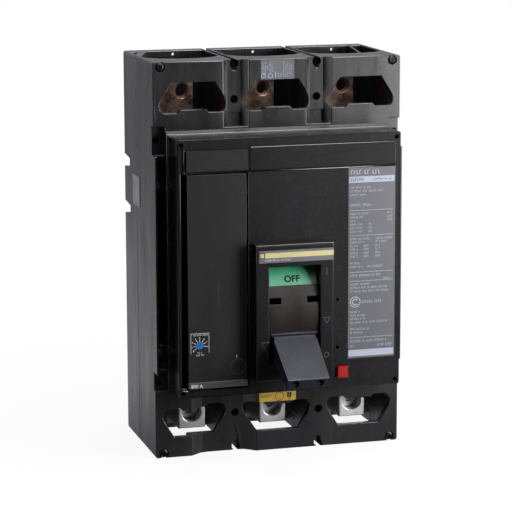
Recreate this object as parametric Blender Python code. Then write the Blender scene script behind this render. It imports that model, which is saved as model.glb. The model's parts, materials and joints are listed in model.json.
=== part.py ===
"""Three-pole moulded case circuit breaker, 800 A frame, handle at OFF.

Units are metres.  The origin is the centre of the back mounting face, +X is to
the right seen from the front, the front faces -Y and +Z is up.  Helper
functions take millimetres, and depth D in front of the back face (y = -D).
"""
import math

import bmesh
import bpy
from mathutils import Vector

MM = 0.001

# --- driving dimensions (mm) ---------------------------------------------
CASE_W = 210.0
CASE_H = 327.0
POLE_PITCH = 70.0
BASE_DEPTH = 45.0           # back face to the seam
COVER_DEPTH = 104.0         # front of the pole boxes
WALL_FRONT = 111.0          # front edge of the thin side walls
FLANGE_DEPTH = 108.0        # raised flange round the front cover
FRONT_DEPTH = 141.0         # raised panel of the front cover
RIM_DEPTH = 139.6           # rim of the front cover round that panel
BEZEL_DEPTH = 153.0         # front of the handle bezel
GAP = 0.3                   # play between neighbouring pieces

HALF_W = CASE_W / 2
HALF_H = CASE_H / 2
POLES = (-POLE_PITCH, 0.0, POLE_PITCH)
BETWEEN = (-POLE_PITCH / 2, POLE_PITCH / 2)

CHAMBER_HALF = 28.0         # terminal chamber, half width
CHAMBER_BACK = 12.0         # depth of the chamber's rear wall
MOUTH_HALF = 31.0           # wider mouth of the chambers in the end faces
MOUTH_Z = 147.0             # height where the mouths begin
MOUTH_FRONT = 78.5          # front of the mouths in the top face
POCKET_HALF = 27.0          # contact chamber, half width
POCKET_OUTER = 92.0         # outer wall of the two outer contact chambers
MID_HALF_H = 95.0           # half height of the contact chambers
CHAMBER_FLOOR = 100.0       # height where the terminal chambers begin
# Load chambers, part of the width where the front wall is only 6 mm thick: it
# stays clear of the recess between the first two poles.
LOAD_WALL_THIN = {-POLE_PITCH: (-28.0, -6.0), 0.0: (-19.5, 28.0), POLE_PITCH: (-28.0, 28.0)}
DECK_BACK = 91.0            # deck between contact chambers and trip unit
DECK_FRONT = 95.0

# The outer windows sit slightly outside the middle of their pole.
WINDOW_SHIFT = {-POLE_PITCH: -0.9, 0.0: -0.3, POLE_PITCH: 0.6}

MOUNT_HOLE_Z = 131.0        # mounting holes, on the lines between poles
MOUNT_HOLE_R = 3.4
CORNER_SCREW = (98.0, 159.6)
COVER_SCREW = (90.0, 100.9)
FLANGE_HOLE = (101.1, 100.4)

COVER_HALF_W = 93.5         # front cover
COVER_HALF_H = 105.0
FLANGE_HALF_W = 94.6
TRIP_X = (-90.5, -35.5)     # trip unit opening in the front cover
TRIP_Z = (-98.6, 78.0)
BLANK_X = (-86.6, -35.1)
BLANK_Z = (79.4, 96.6)
LABEL_X = (48.2, 89.0)
LABEL_Z = (-81.0, 77.6)
BUTTON_X = (39.4, 49.4)
BUTTON_Z = (-96.4, -86.2)
PANEL_X = (-88.6, 88.8)     # raised panel of the front cover
PANEL_Z = (-83.0, 97.8)
PLATE_X = (-85.7, -36.7)    # trip unit's face, in the opening
SIGHT_HOLE_R = 1.3          # hole near the top of each chamber's rear wall

BEZEL_HALF_W = 32.4
BEZEL_Z = (-92.4, 19.8)
SLOT_HALF_W = 21.4
SLOT_Z = (-79.6, 1.4)

SEATS = ((56.5, 88.0), (-82.5, -70.5))  # seats of the flange screws, in z
SEAT_DEPTH = 92.0

# --- handle: turns on a pin along X --------------------------------------
PIVOT_D = 85.0
PIVOT_Z = -38.5
SHUTTER_R = 66.0
SHUTTER_HALF_W = 20.6
HANDLE_OFF = -24.7          # arm below horizontal at OFF, degrees
HANDLE_TIP_D = 190.4
HANDLE_HALF_W = 17.2

# --- contact system ------------------------------------------------------
BAR_D = 46.0
BAR_Z = -4.0
BAR_R = 11.0
ARM_OPEN = 21.5             # open contact arm, degrees in front of vertical

LEVER_ARM = 20.0            # crossbar lever to the toggle links
LEVER_OFF = -40.0           # lever below horizontal when open, degrees
PIN_R = 2.2
TRUNNION_R = 3.2            # pivots of the handle yoke
LINK_TOP = (78.0, -52.0)    # pin of the upper links in the cradle
UPPER_LINK = 24.0
LOWER_LINK = 27.6
CRADLE_PIVOT = (64.0, -66.0)

# --- trip system (depth, z) ----------------------------------------------
DIAL_AT = (-76.4, -61.8)    # x, z of the adjustment dial
DIAL_R = 2.9
TRIP_BAR = (112.0, -72.0)
STEM_END = 121.7            # inner end of the push-to-trip stem

# --- terminals -----------------------------------------------------------
STRAP_BACK = 37.0
STRAP_FRONT = 45.0
LUG_FRONT = 87.0
LUG_HALF_W = 11.7
LUG_Z = (-144.2, -107.0)
LUG_BORE_Z = -130.5
LUG_BORE_R = 8.4
WIRE_BORE_D = 61.0
WIRE_BORE_R = 8.6

SEGMENTS = 24

# --- colours (linear RGB, roughness, metallic) ---------------------------
BLACK_PLASTIC = ((0.018, 0.018, 0.021), 0.55, 0.0)
DARK_PLASTIC = ((0.028, 0.027, 0.028), 0.5, 0.0)
SLATE = ((0.050, 0.050, 0.062), 0.45, 0.0)
BROWN_PLASTIC = ((0.040, 0.031, 0.029), 0.4, 0.0)
GREEN_PLASTIC = ((0.07, 0.42, 0.17), 0.5, 0.0)
RED_PLASTIC = ((0.60, 0.025, 0.035), 0.45, 0.0)
BLUE_PLASTIC = ((0.06, 0.32, 0.80), 0.4, 0.0)
GREY_LABEL = ((0.17, 0.17, 0.18), 0.6, 0.0)
YELLOW_LABEL = ((0.70, 0.50, 0.05), 0.6, 0.0)
PALE_STICKER = ((0.32, 0.40, 0.48), 0.35, 0.0)
STEEL = ((0.45, 0.45, 0.46), 0.35, 1.0)
DARK_STEEL = ((0.16, 0.15, 0.15), 0.4, 1.0)
COPPER = ((0.30, 0.17, 0.11), 0.5, 1.0)
ALUMINIUM = ((0.72, 0.72, 0.71), 0.35, 1.0)
FIBRE = ((0.34, 0.16, 0.08), 0.8, 0.0)
BOARD = ((0.03, 0.16, 0.06), 0.5, 0.0)


def clear_scene():
    for obj in list(bpy.data.objects):
        bpy.data.objects.remove(obj, do_unlink=True)


def material(name, finish):
    colour, roughness, metallic = finish
    mat = bpy.data.materials.new(name)
    mat.use_nodes = True
    shader = mat.node_tree.nodes["Principled BSDF"]
    shader.inputs["Base Color"].default_value = (*colour, 1.0)
    shader.inputs["Roughness"].default_value = roughness
    shader.inputs["Metallic"].default_value = metallic
    return mat


def place(depth, z, x=0.0):
    """World point (metres) of a depth and height given in millimetres."""
    return Vector((x * MM, -depth * MM, z * MM))


# --- bmesh building blocks ------------------------------------------------
def add_prism(bm, points, axis, low, high):
    """Extrude a closed outline of (a, b) points along axis x, y or z.

    Outlines are (depth, z) for axis x, (x, z) for axis y and (x, depth) for
    axis z; low and high are in millimetres (depths for axis y).
    """
    def corner(a, b, t):
        if axis == "x":
            return (t * MM, -a * MM, b * MM)
        if axis == "y":
            return (a * MM, -t * MM, b * MM)
        return (a * MM, -b * MM, t * MM)

    ring_low = [bm.verts.new(corner(a, b, low)) for a, b in points]
    ring_high = [bm.verts.new(corner(a, b, high)) for a, b in points]
    count = len(points)
    faces = [bm.faces.new(ring_low), bm.faces.new(ring_high)]
    for i in range(count):
        j = (i + 1) % count
        faces.append(bm.faces.new((ring_low[i], ring_low[j], ring_high[j], ring_high[i])))
    bmesh.ops.recalc_face_normals(bm, faces=faces)


def add_box(bm, x, depth, z):
    """Box from (low, high) pairs of x, depth and z in millimetres."""
    outline = [(x[0], z[0]), (x[1], z[0]), (x[1], z[1]), (x[0], z[1])]
    add_prism(bm, outline, "y", depth[0], depth[1])


def circle(centre, radius, segments=SEGMENTS, start=0.0, end=360.0):
    """Points of a circle, or of an arc when end - start is under 360."""
    full = end - start >= 360.0
    steps = segments if full else segments + 1
    points = []
    for i in range(steps):
        angle = math.radians(start + (end - start) * i / segments)
        points.append((centre[0] + radius * math.cos(angle),
                       centre[1] + radius * math.sin(angle)))
    return points


def rounded_rect(x, z, radius, steps=4):
    """Rectangle outline with rounded corners."""
    outline = []
    corners = ((x[1] - radius, z[1] - radius, 0), (x[0] + radius, z[1] - radius, 90),
               (x[0] + radius, z[0] + radius, 180), (x[1] - radius, z[0] + radius, 270))
    for cx, cz, start in corners:
        outline += circle((cx, cz), radius, steps, start, start + 90)
    return outline


def add_cylinder(bm, axis, centre, radius, low, high, segments=SEGMENTS):
    add_prism(bm, circle(centre, radius, segments), axis, low, high)


def new_object(name, bm, finish=None, origin=None):
    """Object from a bmesh built in world millimetre helpers.

    With an origin, the mesh is moved so that the object's origin is there.
    """
    if origin is not None:
        bmesh.ops.translate(bm, verts=bm.verts, vec=-origin)
    mesh = bpy.data.meshes.new(name)
    bm.to_mesh(mesh)
    bm.free()
    obj = bpy.data.objects.new(name, mesh)
    bpy.context.scene.collection.objects.link(obj)
    if origin is not None:
        obj.location = origin
    if finish is not None:
        mesh.materials.append(material(name, finish))
    return obj


def smooth(obj, angle=35.0):
    obj.data.shade_smooth()
    obj.data.set_sharp_from_angle(angle=math.radians(angle))
    return obj


def hide_helper(obj):
    obj.hide_render = True
    obj.display_type = "WIRE"


def boolean(target, tool_bm, name, operation="DIFFERENCE"):
    """Cut or join a bmesh into target with an exact Boolean."""
    tool = new_object(target.name + "_" + name, tool_bm)
    hide_helper(tool)
    mod = target.modifiers.new(name, "BOOLEAN")
    mod.operation = operation
    mod.solver = "EXACT"
    mod.use_self = True
    mod.object = tool
    return mod


def box_object(name, x, depth, z, finish, radius=0.0):
    bm = bmesh.new()
    if radius > 0:
        add_prism(bm, rounded_rect(x, z, radius), "y", depth[0], depth[1])
    else:
        add_box(bm, x, depth, z)
    return new_object(name, bm, finish)


# --- shared outlines -------------------------------------------------------
def window_outline(pole, sign):
    """Terminal window: narrow outside, wide inside, with a tab in its long edge."""
    centre = pole + WINDOW_SHIFT[pole]
    narrow, wide = 17.8, 28.2
    half = [(narrow, 146.6), (wide - 1.3, 132.0), (wide, 128.2), (wide - 0.7, 125.0),
            (wide - 2.8, 122.7), (wide - 5.4, 122.1), (13.0, 122.1), (10.8, 124.6)]
    right = [(centre + x, sign * z) for x, z in half]
    left = [(centre - x, sign * z) for x, z in reversed(half)]
    return right + left


def case_outline(chamfer=1.2):
    """Case outline in x and z with small corner chamfers."""
    w, h, c = HALF_W, HALF_H, chamfer
    return [(w - c, -h), (w, -h + c), (w, h - c), (w - c, h),
            (-w + c, h), (-w, h - c), (-w, -h + c), (-w + c, -h)]


def pocket_x(pole):
    """Left and right wall of a contact chamber."""
    return (max(pole - POCKET_HALF, -POCKET_OUTER), min(pole + POCKET_HALF, POCKET_OUTER))


def cut_shared(bm):
    """Holes and slots that run through both base and main cover."""
    for x in BETWEEN:
        for sign in (-1, 1):
            add_cylinder(bm, "y", (x, sign * MOUNT_HOLE_Z), MOUNT_HOLE_R, -2, 120, 20)
            edge = sorted((sign * 154.5, sign * (HALF_H + 3)))
            add_box(bm, (x - 1.8, x + 1.8), (-2, 112), edge)


def add_rib(bm, back, front):
    """Thin slanting rib across the mouth of the third upper chamber."""
    half = 0.9

    def middle(depth):
        return 93.2 - 0.18 * depth

    outline = [(middle(back) - half, back), (middle(back) + half, back),
               (middle(front) + half, front), (middle(front) - half, front)]
    add_prism(bm, outline, "z", MOUTH_Z + 3, HALF_H)


# --- case ------------------------------------------------------------------
def build_rear_base():
    bm = bmesh.new()
    add_prism(bm, case_outline(), "y", 0, BASE_DEPTH - GAP / 2)
    base = new_object("rear_base", bm, BLACK_PLASTIC)
    cut = bmesh.new()
    for pole in POLES:
        x = (pole - CHAMBER_HALF, pole + CHAMBER_HALF)
        add_box(cut, x, (CHAMBER_BACK, 60), (CHAMBER_FLOOR, MOUTH_Z))
        add_box(cut, x, (CHAMBER_BACK, 60), (-HALF_H - 5, -CHAMBER_FLOOR))
        mouth = (pole - MOUTH_HALF, pole + MOUTH_HALF)
        add_box(cut, mouth, (CHAMBER_BACK, 60), (-HALF_H - 5, -MOUTH_Z))
        left_back = (pole - MOUTH_HALF, CHAMBER_BACK)
        left_side = (pole - MOUTH_HALF, CHAMBER_BACK + 1)
        if pole == POLES[0]:
            left_back, left_side = (-87.5, CHAMBER_BACK), (-99.6, 46)
        top = [left_back, (mouth[1], CHAMBER_BACK), (mouth[1], 60), (mouth[0], 60), left_side]
        add_prism(cut, top, "z", MOUTH_Z - 0.1, HALF_H + 5)
        add_box(cut, pocket_x(pole), (CHAMBER_BACK - 0.4, 60), (-MID_HALF_H, MID_HALF_H))
        strap = (pole - 17.8, pole + 14.2)
        add_box(cut, strap, (STRAP_BACK - GAP, 60), (MID_HALF_H - 3, CHAMBER_FLOOR + 3))
        load = (pole - 16.3, pole + 16.3)
        add_box(cut, load, (STRAP_BACK - GAP, 60), (-CHAMBER_FLOOR - 3, -MID_HALF_H + 3))
        # Sight hole near the top edge, opened out from behind.
        add_cylinder(cut, "y", (pole + 5.2, 160.3), SIGHT_HOLE_R, 6, 14, 12)
        add_cylinder(cut, "y", (pole + 7.3, 158.8), 3.2, -2, CHAMBER_BACK - 3, 16)
    corner = [(-101.5, 14), (-94.5, 14), (-101.5, 32)]
    add_prism(cut, corner, "z", 153, HALF_H + 5)
    boolean(base, cut, "chambers")
    rib = bmesh.new()
    add_rib(rib, CHAMBER_BACK - 1, BASE_DEPTH - GAP / 2)
    boolean(base, rib, "rib", "UNION")
    slots = bmesh.new()
    cut_shared(slots)
    for side in (-1, 1):
        for z in (31.0, 71.0):
            inner, outer = side * (HALF_W - 8), side * (HALF_W + 2)
            notch = [(-2, z - 5), (19.5, z - 4.6), (19.5, z + 3.4), (-2, z + 5.6)]
            add_prism(slots, notch, "x", min(inner, outer), max(inner, outer))
    add_cylinder(slots, "x", (BAR_D, BAR_Z), BAR_R + 0.6, -91.6, 91.6)
    boolean(base, slots, "slots")
    return base


def build_main_cover():
    front, seam = COVER_DEPTH, BASE_DEPTH + GAP / 2
    bm = bmesh.new()
    add_prism(bm, case_outline(), "y", seam, front)
    cover = new_object("main_cover", bm, BLACK_PLASTIC)

    raised = bmesh.new()
    # Thin side walls and the flange that carries the front cover.
    for side in (-1, 1):
        x = sorted((side * HALF_W, side * (HALF_W - 2.2)))
        add_box(raised, x, (100, WALL_FRONT), (-91.5, 88.5))
    slope = 3.0
    w, h = FLANGE_HALF_W, COVER_HALF_H + 0.4
    for sign in (-1, 1):
        lip = [(front - 1, sign * (h + slope)), (FLANGE_DEPTH, sign * h),
               (FLANGE_DEPTH, sign * (h - 8)), (front - 1, sign * (h - 8))]
        add_prism(raised, lip, "x", -w, w)
    for side in (-1, 1):
        x = sorted((side * w, side * (w - 8)))
        add_box(raised, x, (front - 1, FLANGE_DEPTH), (-h + 4, h - 4))
    boolean(cover, raised, "raised", "UNION")

    cut = bmesh.new()
    for pole in POLES:
        x = (pole - CHAMBER_HALF, pole + CHAMBER_HALF)
        add_box(cut, x, (30, 98), (CHAMBER_FLOOR, MOUTH_Z + 0.2))
        bulge = [(-MOUTH_HALF, 30), (MOUTH_HALF, 30), (MOUTH_HALF, 64), (22, 74),
                 (8, MOUTH_FRONT), (-8, MOUTH_FRONT), (-22, 74), (-MOUTH_HALF, 64)]
        mouth = [(pole + across, depth) for across, depth in bulge]
        add_prism(cut, mouth, "z", MOUTH_Z, HALF_H + 5)
        mouth_x = (pole - MOUTH_HALF, pole + MOUTH_HALF)
        add_box(cut, mouth_x, (30, 90), (-HALF_H - 5, -MOUTH_Z))
        add_box(cut, x, (30, 90), (-HALF_H - 5, -CHAMBER_FLOOR))
        thin = (pole + LOAD_WALL_THIN[pole][0], pole + LOAD_WALL_THIN[pole][1])
        add_box(cut, thin, (80, 98), (-HALF_H - 5, -CHAMBER_FLOOR))
        contact_front = 120 if pole == 0 else DECK_BACK
        add_box(cut, pocket_x(pole), (30, contact_front), (-MID_HALF_H, MID_HALF_H))
        add_prism(cut, window_outline(pole, 1), "y", 80, 125)
        add_prism(cut, window_outline(pole, -1), "y", 80, 125)
    boolean(cover, cut, "chambers")
    rib = bmesh.new()
    add_rib(rib, seam, MOUTH_FRONT)
    boolean(cover, rib, "rib", "UNION")

    channels = bmesh.new()
    cut_shared(channels)
    for x in BETWEEN:
        wedge = [(x - 10.8, front + 0.2), (x - 5.6, front - 7), (x + 5.6, front - 7),
                 (x + 10.8, front + 0.2), (x + 10.8, front + 9), (x - 10.8, front + 9)]
        add_prism(channels, wedge, "z", 109.5, HALF_H + 3)
        add_box(channels, (x - 6, x + 6), (95.2, 112), (109.5, 120))
        for sign in (-1, 1):
            add_cylinder(channels, "y", (x, sign * 159.8), 3.9, 92, 112, 20)
    recess = [(-74.2, front + 0.2), (-63.5, 96), (-28.0, 96), (-18.9, front + 0.2),
              (-18.9, front + 3), (-74.2, front + 3)]
    add_prism(channels, recess, "z", -HALF_H - 5, -108.6)
    add_cylinder(channels, "x", (BAR_D, BAR_Z), BAR_R + 0.6, -91.6, 91.6)
    # Compartment under the front cover.
    add_box(channels, (-88, 88), (DECK_FRONT, 112), (-98, 98))
    boolean(cover, channels, "channels")

    edges = bmesh.new()
    for side in (-1, 1):
        pocket = sorted((side * (FLANGE_HALF_W + 0.2), side * (HALF_W - 2.2)))
        add_box(edges, pocket, (60, 125), (-88.5, 85.5))
        pad = sorted((side * FLANGE_HALF_W, side * (HALF_W + 2)))
        add_box(edges, pad, (99.5, 125), (88.5, 111.5))
        add_box(edges, pad, (99.5, 125), (-106.5, -91.5))
        for sign in (-1, 1):
            corner = (side * CORNER_SCREW[0], sign * CORNER_SCREW[1])
            add_cylinder(edges, "y", corner, 4.1, front - 3, 125, 20)
            hole = (side * FLANGE_HOLE[0], sign * FLANGE_HOLE[1])
            add_cylinder(edges, "y", hole, 2.6, 80, 125, 20)
    boolean(cover, edges, "edges")

    bosses = bmesh.new()
    for side in (-1, 1):
        x = sorted((side * 94.0, side * (HALF_W - 1)))
        for low, high in SEATS:
            add_box(bosses, x, (59, SEAT_DEPTH), (low, high))
        for sign, near, far in ((1, 88.0, 79.5), (-1, -91.0, -82.5)):
            inner, outer = side * 94.0, side * (HALF_W - 1)
            facet = [(inner, near), (inner, far), (outer, near)]
            add_prism(bosses, facet, "y", 59, 99.5)
    boolean(cover, bosses, "bosses", "UNION")
    return cover


def build_front_cover():
    back = FLANGE_DEPTH + 0.15
    w, h = COVER_HALF_W, COVER_HALF_H
    bm = bmesh.new()
    add_prism(bm, rounded_rect((-w, w), (-h, h), 1.5, 3), "y", back, RIM_DEPTH)
    cover = new_object("front_cover", bm, BLACK_PLASTIC)
    panel = bmesh.new()
    add_prism(panel, rounded_rect(PANEL_X, PANEL_Z, 0.8, 2), "y", 134, FRONT_DEPTH)
    add_box(panel, (-35.0, 37.5), (134, FRONT_DEPTH - 0.5), (-98.8, -80))
    boolean(cover, panel, "panel", "UNION")

    cut = bmesh.new()
    add_box(cut, (-90.5, 90.5), (90, 137), (-102, 102))
    add_box(cut, TRIP_X, (130, 150), TRIP_Z)
    add_box(cut, (-87.4, BLANK_X[1] + GAP), (138.4, 150), (BLANK_Z[0] - GAP, BLANK_Z[1] + GAP))
    add_box(cut, (-34.6, -34.0), (139.8, 150), (78.3, 98.4))
    add_box(cut, (-34.6, 89.4), (139.8, 150), (78.3, 78.9))
    add_box(cut, LABEL_X, (140.2, 150), LABEL_Z)
    add_prism(cut, rounded_rect(BUTTON_X, BUTTON_Z, 1.2, 3), "y", 130, 150)
    slot_x = (-SLOT_HALF_W - 2.0, SLOT_HALF_W + 2.0)
    add_box(cut, slot_x, (130, 150), (SLOT_Z[0] - 2, SLOT_Z[1] + 2))
    for z in (-30.3, -70.4):
        add_cylinder(cut, "y", (39.7, z), 1.4, 130, 150, 16)
    boolean(cover, cut, "openings")
    posts = bmesh.new()
    for side in (-1, 1):
        for sign in (-1, 1):
            x = side * COVER_SCREW[0]
            z = sign * COVER_SCREW[1]
            add_box(posts, (x - 3.3, x + 3.3), (back, 138), (z - 3.9, z + 3.9))
    boolean(cover, posts, "posts", "UNION")
    bores = bmesh.new()
    for side in (-1, 1):
        for sign in (-1, 1):
            centre = (side * COVER_SCREW[0], sign * COVER_SCREW[1])
            add_cylinder(bores, "y", centre, 1.9, 100, 150, 16)
    boolean(cover, bores, "bores")
    return cover


def build_toggle_bezel():
    back = FRONT_DEPTH + 0.25
    w = BEZEL_HALF_W
    profile = [(back, BEZEL_Z[0]), (BEZEL_DEPTH - 1.0, BEZEL_Z[0]), (BEZEL_DEPTH, BEZEL_Z[0] + 1.0),
               (BEZEL_DEPTH, BEZEL_Z[1] - 1.0), (BEZEL_DEPTH - 1.0, BEZEL_Z[1]),
               (back, BEZEL_Z[1])]
    bm = bmesh.new()
    add_prism(bm, profile, "x", -w, w)
    bezel = new_object("toggle_bezel", bm, BLACK_PLASTIC)
    cut = bmesh.new()
    add_box(cut, (-SLOT_HALF_W, SLOT_HALF_W), (130, 160), SLOT_Z)
    add_box(cut, (-30.4, w + 2), (BEZEL_DEPTH - 0.5, 160), (4.9, 15.4))
    boolean(bezel, cut, "slot")
    return bezel


def build_labels():
    box_object("rating_label", (LABEL_X[0] + GAP, LABEL_X[1] - GAP), (140.45, 140.95),
               (LABEL_Z[0] + GAP, LABEL_Z[1] - GAP), GREY_LABEL)
    box_object("bezel_strip", (-30.1, BEZEL_HALF_W), (BEZEL_DEPTH - 0.25, BEZEL_DEPTH + 0.05),
               (5.2, 15.1), GREY_LABEL)
    box_object("terminal_label", (-14.6, 13.8), (COVER_DEPTH + 0.1, COVER_DEPTH + 0.4),
               (146.9, 162.6), GREY_LABEL, 1.0)
    box_object("notice_label", (-16.4, 15.2), (COVER_DEPTH + 0.1, COVER_DEPTH + 0.4),
               (-121.9, -113.8), YELLOW_LABEL)
    bm = bmesh.new()
    sticker = [(31.5, 40.5), (33.5, 39.0), (56.5, 39.0), (56.5, 62.5), (55.0, 64.0), (31.5, 64.0)]
    add_prism(bm, sticker, "x", -HALF_W - 0.4, -HALF_W - 0.1)
    new_object("seal_sticker", bm, PALE_STICKER)


# --- screws -----------------------------------------------------------------
def add_pan_head(bm, x, z, seat, radius, height):
    """Pan head turned about an axis along y, its seat at the given depth."""
    steps = 16
    profile = ((radius, seat), (radius, seat + height * 0.4), (radius * 0.9, seat + height * 0.75),
               (radius * 0.55, seat + height))
    rings = []
    for r, depth in profile:
        rings.append([bm.verts.new(place(depth, b, a)) for a, b in circle((x, z), r, steps)])
    for lower, upper in zip(rings, rings[1:]):
        for i in range(steps):
            j = (i + 1) % steps
            bm.faces.new((lower[i], lower[j], upper[j], upper[i]))
    bm.faces.new(rings[0])
    bm.faces.new(rings[-1])
    bmesh.ops.recalc_face_normals(bm, faces=bm.faces)


def build_corner_screws():
    """Recessed pan head screws with a cross, one in each corner of the case."""
    seat, radius, height = COVER_DEPTH - 2.7, 3.7, 2.3
    half, arm = radius * 0.13, radius * 0.55
    cross = [(half, half), (half, arm), (-half, arm), (-half, half), (-arm, half), (-arm, -half),
             (-half, -half), (-half, -arm), (half, -arm), (half, -half), (arm, -half),
             (arm, half)]
    number = 0
    for side in (-1, 1):
        for sign in (-1, 1):
            number += 1
            x, z = side * CORNER_SCREW[0], sign * CORNER_SCREW[1]
            bm = bmesh.new()
            add_pan_head(bm, x, z, seat, radius, height)
            screw = new_object(f"corner_screw_{number}", bm, DARK_STEEL)
            cut = bmesh.new()
            outline = [(x + px, z + pz) for px, pz in cross]
            add_prism(cut, outline, "y", seat + height * 0.35, seat + height + 2)
            boolean(screw, cut, "cross")
            smooth(screw)


# --- current path -------------------------------------------------------------
def build_line_terminal(index, pole):
    profile = [(STRAP_BACK, 158), (STRAP_BACK, 90), (12.4, 90), (12.4, 40), (20, 40), (20, 44),
               (22.5, 45), (22.5, 57), (20, 58), (20, 82), (STRAP_FRONT, 82),
               (STRAP_FRONT, 158)]
    bm = bmesh.new()
    add_prism(bm, profile, "x", pole - 17.4, pole + 13.8)
    strap = new_object(f"line_terminal_{index}", bm, COPPER)
    cut = bmesh.new()
    centre = (pole + 4.2, 133.1)
    add_cylinder(cut, "y", centre, 5.2, 30, 50)
    boolean(strap, cut, "hole")
    sink = bmesh.new()
    add_cylinder(sink, "y", centre, 6.2, STRAP_FRONT - 1.2, 50)
    boolean(strap, sink, "sink")
    return strap


def build_load_terminal(index, pole):
    profile = [(STRAP_BACK, -150), (STRAP_FRONT, -150), (STRAP_FRONT, -82), (34, -82), (34, -24),
               (26, -24), (26, -90), (STRAP_BACK, -90)]
    bm = bmesh.new()
    add_prism(bm, profile, "x", pole - 12, pole + 12)
    new_object(f"load_terminal_{index}", bm, COPPER)


def build_lug(index, pole):
    bm = bmesh.new()
    c = 1.0
    left, right = pole - LUG_HALF_W, pole + LUG_HALF_W
    back, front = STRAP_FRONT + GAP, LUG_FRONT
    outline = [(left, back), (right, back), (right, front - c), (right - c, front),
               (left + c, front), (left, front - c)]
    add_prism(bm, outline, "z", LUG_Z[0], LUG_Z[1])
    lug = new_object(f"lug_{index}", bm, ALUMINIUM)
    cut = bmesh.new()
    add_cylinder(cut, "z", (pole, WIRE_BORE_D), WIRE_BORE_R, LUG_Z[0] - 3, LUG_Z[1] + 3)
    boolean(lug, cut, "wire_bore")
    bore = bmesh.new()
    add_cylinder(bore, "y", (pole, LUG_BORE_Z), LUG_BORE_R, WIRE_BORE_D + 1, LUG_FRONT + 3)
    boolean(lug, bore, "screw_bore")
    return lug


def build_lug_screw(index, pole):
    bm = bmesh.new()
    origin = place(77, LUG_BORE_Z, pole)
    add_cylinder(bm, "y", (pole, LUG_BORE_Z), LUG_BORE_R - 0.5, 70.5, 77)
    screw = new_object(f"lug_screw_{index}", bm, STEEL, origin)
    socket = bmesh.new()
    add_cylinder(socket, "y", (pole, LUG_BORE_Z), 4.2, 73, 80, 6)
    boolean(screw, socket, "socket")
    return smooth(screw)


def build_arc_chute(index, pole):
    """Two fibre cheeks joined by a back strip, with splitter plates between them."""
    x0, x1 = pole - 19, pole + 19
    z0, z1 = 60.0, 92.0
    d0, d1 = 48.0, 89.0
    bm = bmesh.new()
    add_box(bm, (x0, x0 + 2), (d0, d1), (z0, z1))
    chute = new_object(f"arc_chute_{index}", bm, FIBRE)
    rest = bmesh.new()
    add_box(rest, (x1 - 2, x1), (d0, d1), (z0, z1))
    add_box(rest, (x0 + 1, x1 - 1), (d0, d1), (z1 - 2, z1))
    plates = 8
    for i in range(plates):
        depth = d0 + 1.5 + i * (d1 - d0 - 4) / (plates - 1)
        add_box(rest, (x0 + 1, x1 - 1), (depth, depth + 1.0), (z0 + 4, z1 - 1))
    boolean(chute, rest, "plates", "UNION")
    return chute


def build_current_transformer(index, pole):
    bm = bmesh.new()
    ring = rounded_rect((pole - 20, pole + 20), (15.0, 46.0), 3.0, 3)
    add_prism(bm, ring, "z", -72, -50)
    ct = new_object(f"current_transformer_{index}", bm, DARK_PLASTIC)
    cut = bmesh.new()
    add_box(cut, (pole - 12.6, pole + 12.6), (25.4, 34.6), (-76, -46))
    boolean(ct, cut, "window")
    return ct


# --- crossbar and moving contacts -----------------------------------------------
def turned(depth, z, centre, angle):
    """Turn a (depth, z) point about a centre; positive angles lean to the front."""
    a = math.radians(angle)
    dd, dz = depth - centre[0], z - centre[1]
    return (centre[0] + dd * math.cos(a) + dz * math.sin(a),
            centre[1] - dd * math.sin(a) + dz * math.cos(a))


def lever_end():
    """Pin of the crossbar lever with the contacts open."""
    a = math.radians(LEVER_OFF)
    return (BAR_D + LEVER_ARM * math.cos(a), BAR_Z + LEVER_ARM * math.sin(a))


def build_crossbar():
    origin = place(BAR_D, BAR_Z)
    bm = bmesh.new()
    add_cylinder(bm, "x", (BAR_D, BAR_Z), BAR_R, -90.5, 90.5)
    bar = new_object("crossbar", bm, DARK_PLASTIC, origin)
    cut = bmesh.new()
    for pole in POLES:
        slot = [turned(d, z, (BAR_D, BAR_Z), ARM_OPEN)
                for d, z in ((BAR_D - 4.3, BAR_Z - 6.3), (BAR_D + 4.3, BAR_Z - 6.3),
                             (BAR_D + 4.3, BAR_Z + 14), (BAR_D - 4.3, BAR_Z + 14))]
        add_prism(cut, slot, "x", pole - 8.3, pole + 8.3)
    boolean(bar, cut, "arm_slots")
    levers = bmesh.new()
    reach = lever_end()
    for side in (-1, 1):
        x = sorted((side * 16.2, side * 18.2))
        add_link(levers, (BAR_D, BAR_Z), reach, 5.2, x[0], x[1])
    boolean(bar, levers, "levers", "UNION")
    eyes = bmesh.new()
    for side in (-1, 1):
        x = sorted((side * 15.9, side * 18.5))
        add_cylinder(eyes, "x", reach, PIN_R + GAP, x[0], x[1], 12)
    boolean(bar, eyes, "eyes")
    return smooth(bar)


def add_link(bm, start, end, radius, low, high, steps=6):
    """Flat bar with round ends between two (depth, z) points, along axis x."""
    heading = math.degrees(math.atan2(end[1] - start[1], end[0] - start[0]))
    outline = circle(end, radius, steps, heading - 90, heading + 90)
    outline += circle(start, radius, steps, heading + 90, heading + 270)
    add_prism(bm, outline, "x", low, high)


def build_moving_contact(index, pole):
    """Contact arm, leaning forward when open; its tip face is upright when closed."""
    centre = (BAR_D, BAR_Z)
    origin = place(BAR_D, BAR_Z, pole)
    flat = [(-4, -6), (4, -6), (4, 44), (-1, 60), (-4.8, 60), (-8.6, 48), (-4, 45)]
    profile = [turned(BAR_D + d, BAR_Z + z, centre, ARM_OPEN) for d, z in flat]
    bm = bmesh.new()
    add_prism(bm, profile, "x", pole - 8, pole + 8)
    return new_object(f"moving_contact_{index}", bm, COPPER, origin)


# --- handle and its mechanism ------------------------------------------------------
def polar(radius, angle):
    """Depth and height at a radius and angle (degrees above horizontal) of the handle pin."""
    a = math.radians(angle)
    return (PIVOT_D + radius * math.cos(a), PIVOT_Z + radius * math.sin(a))


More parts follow.
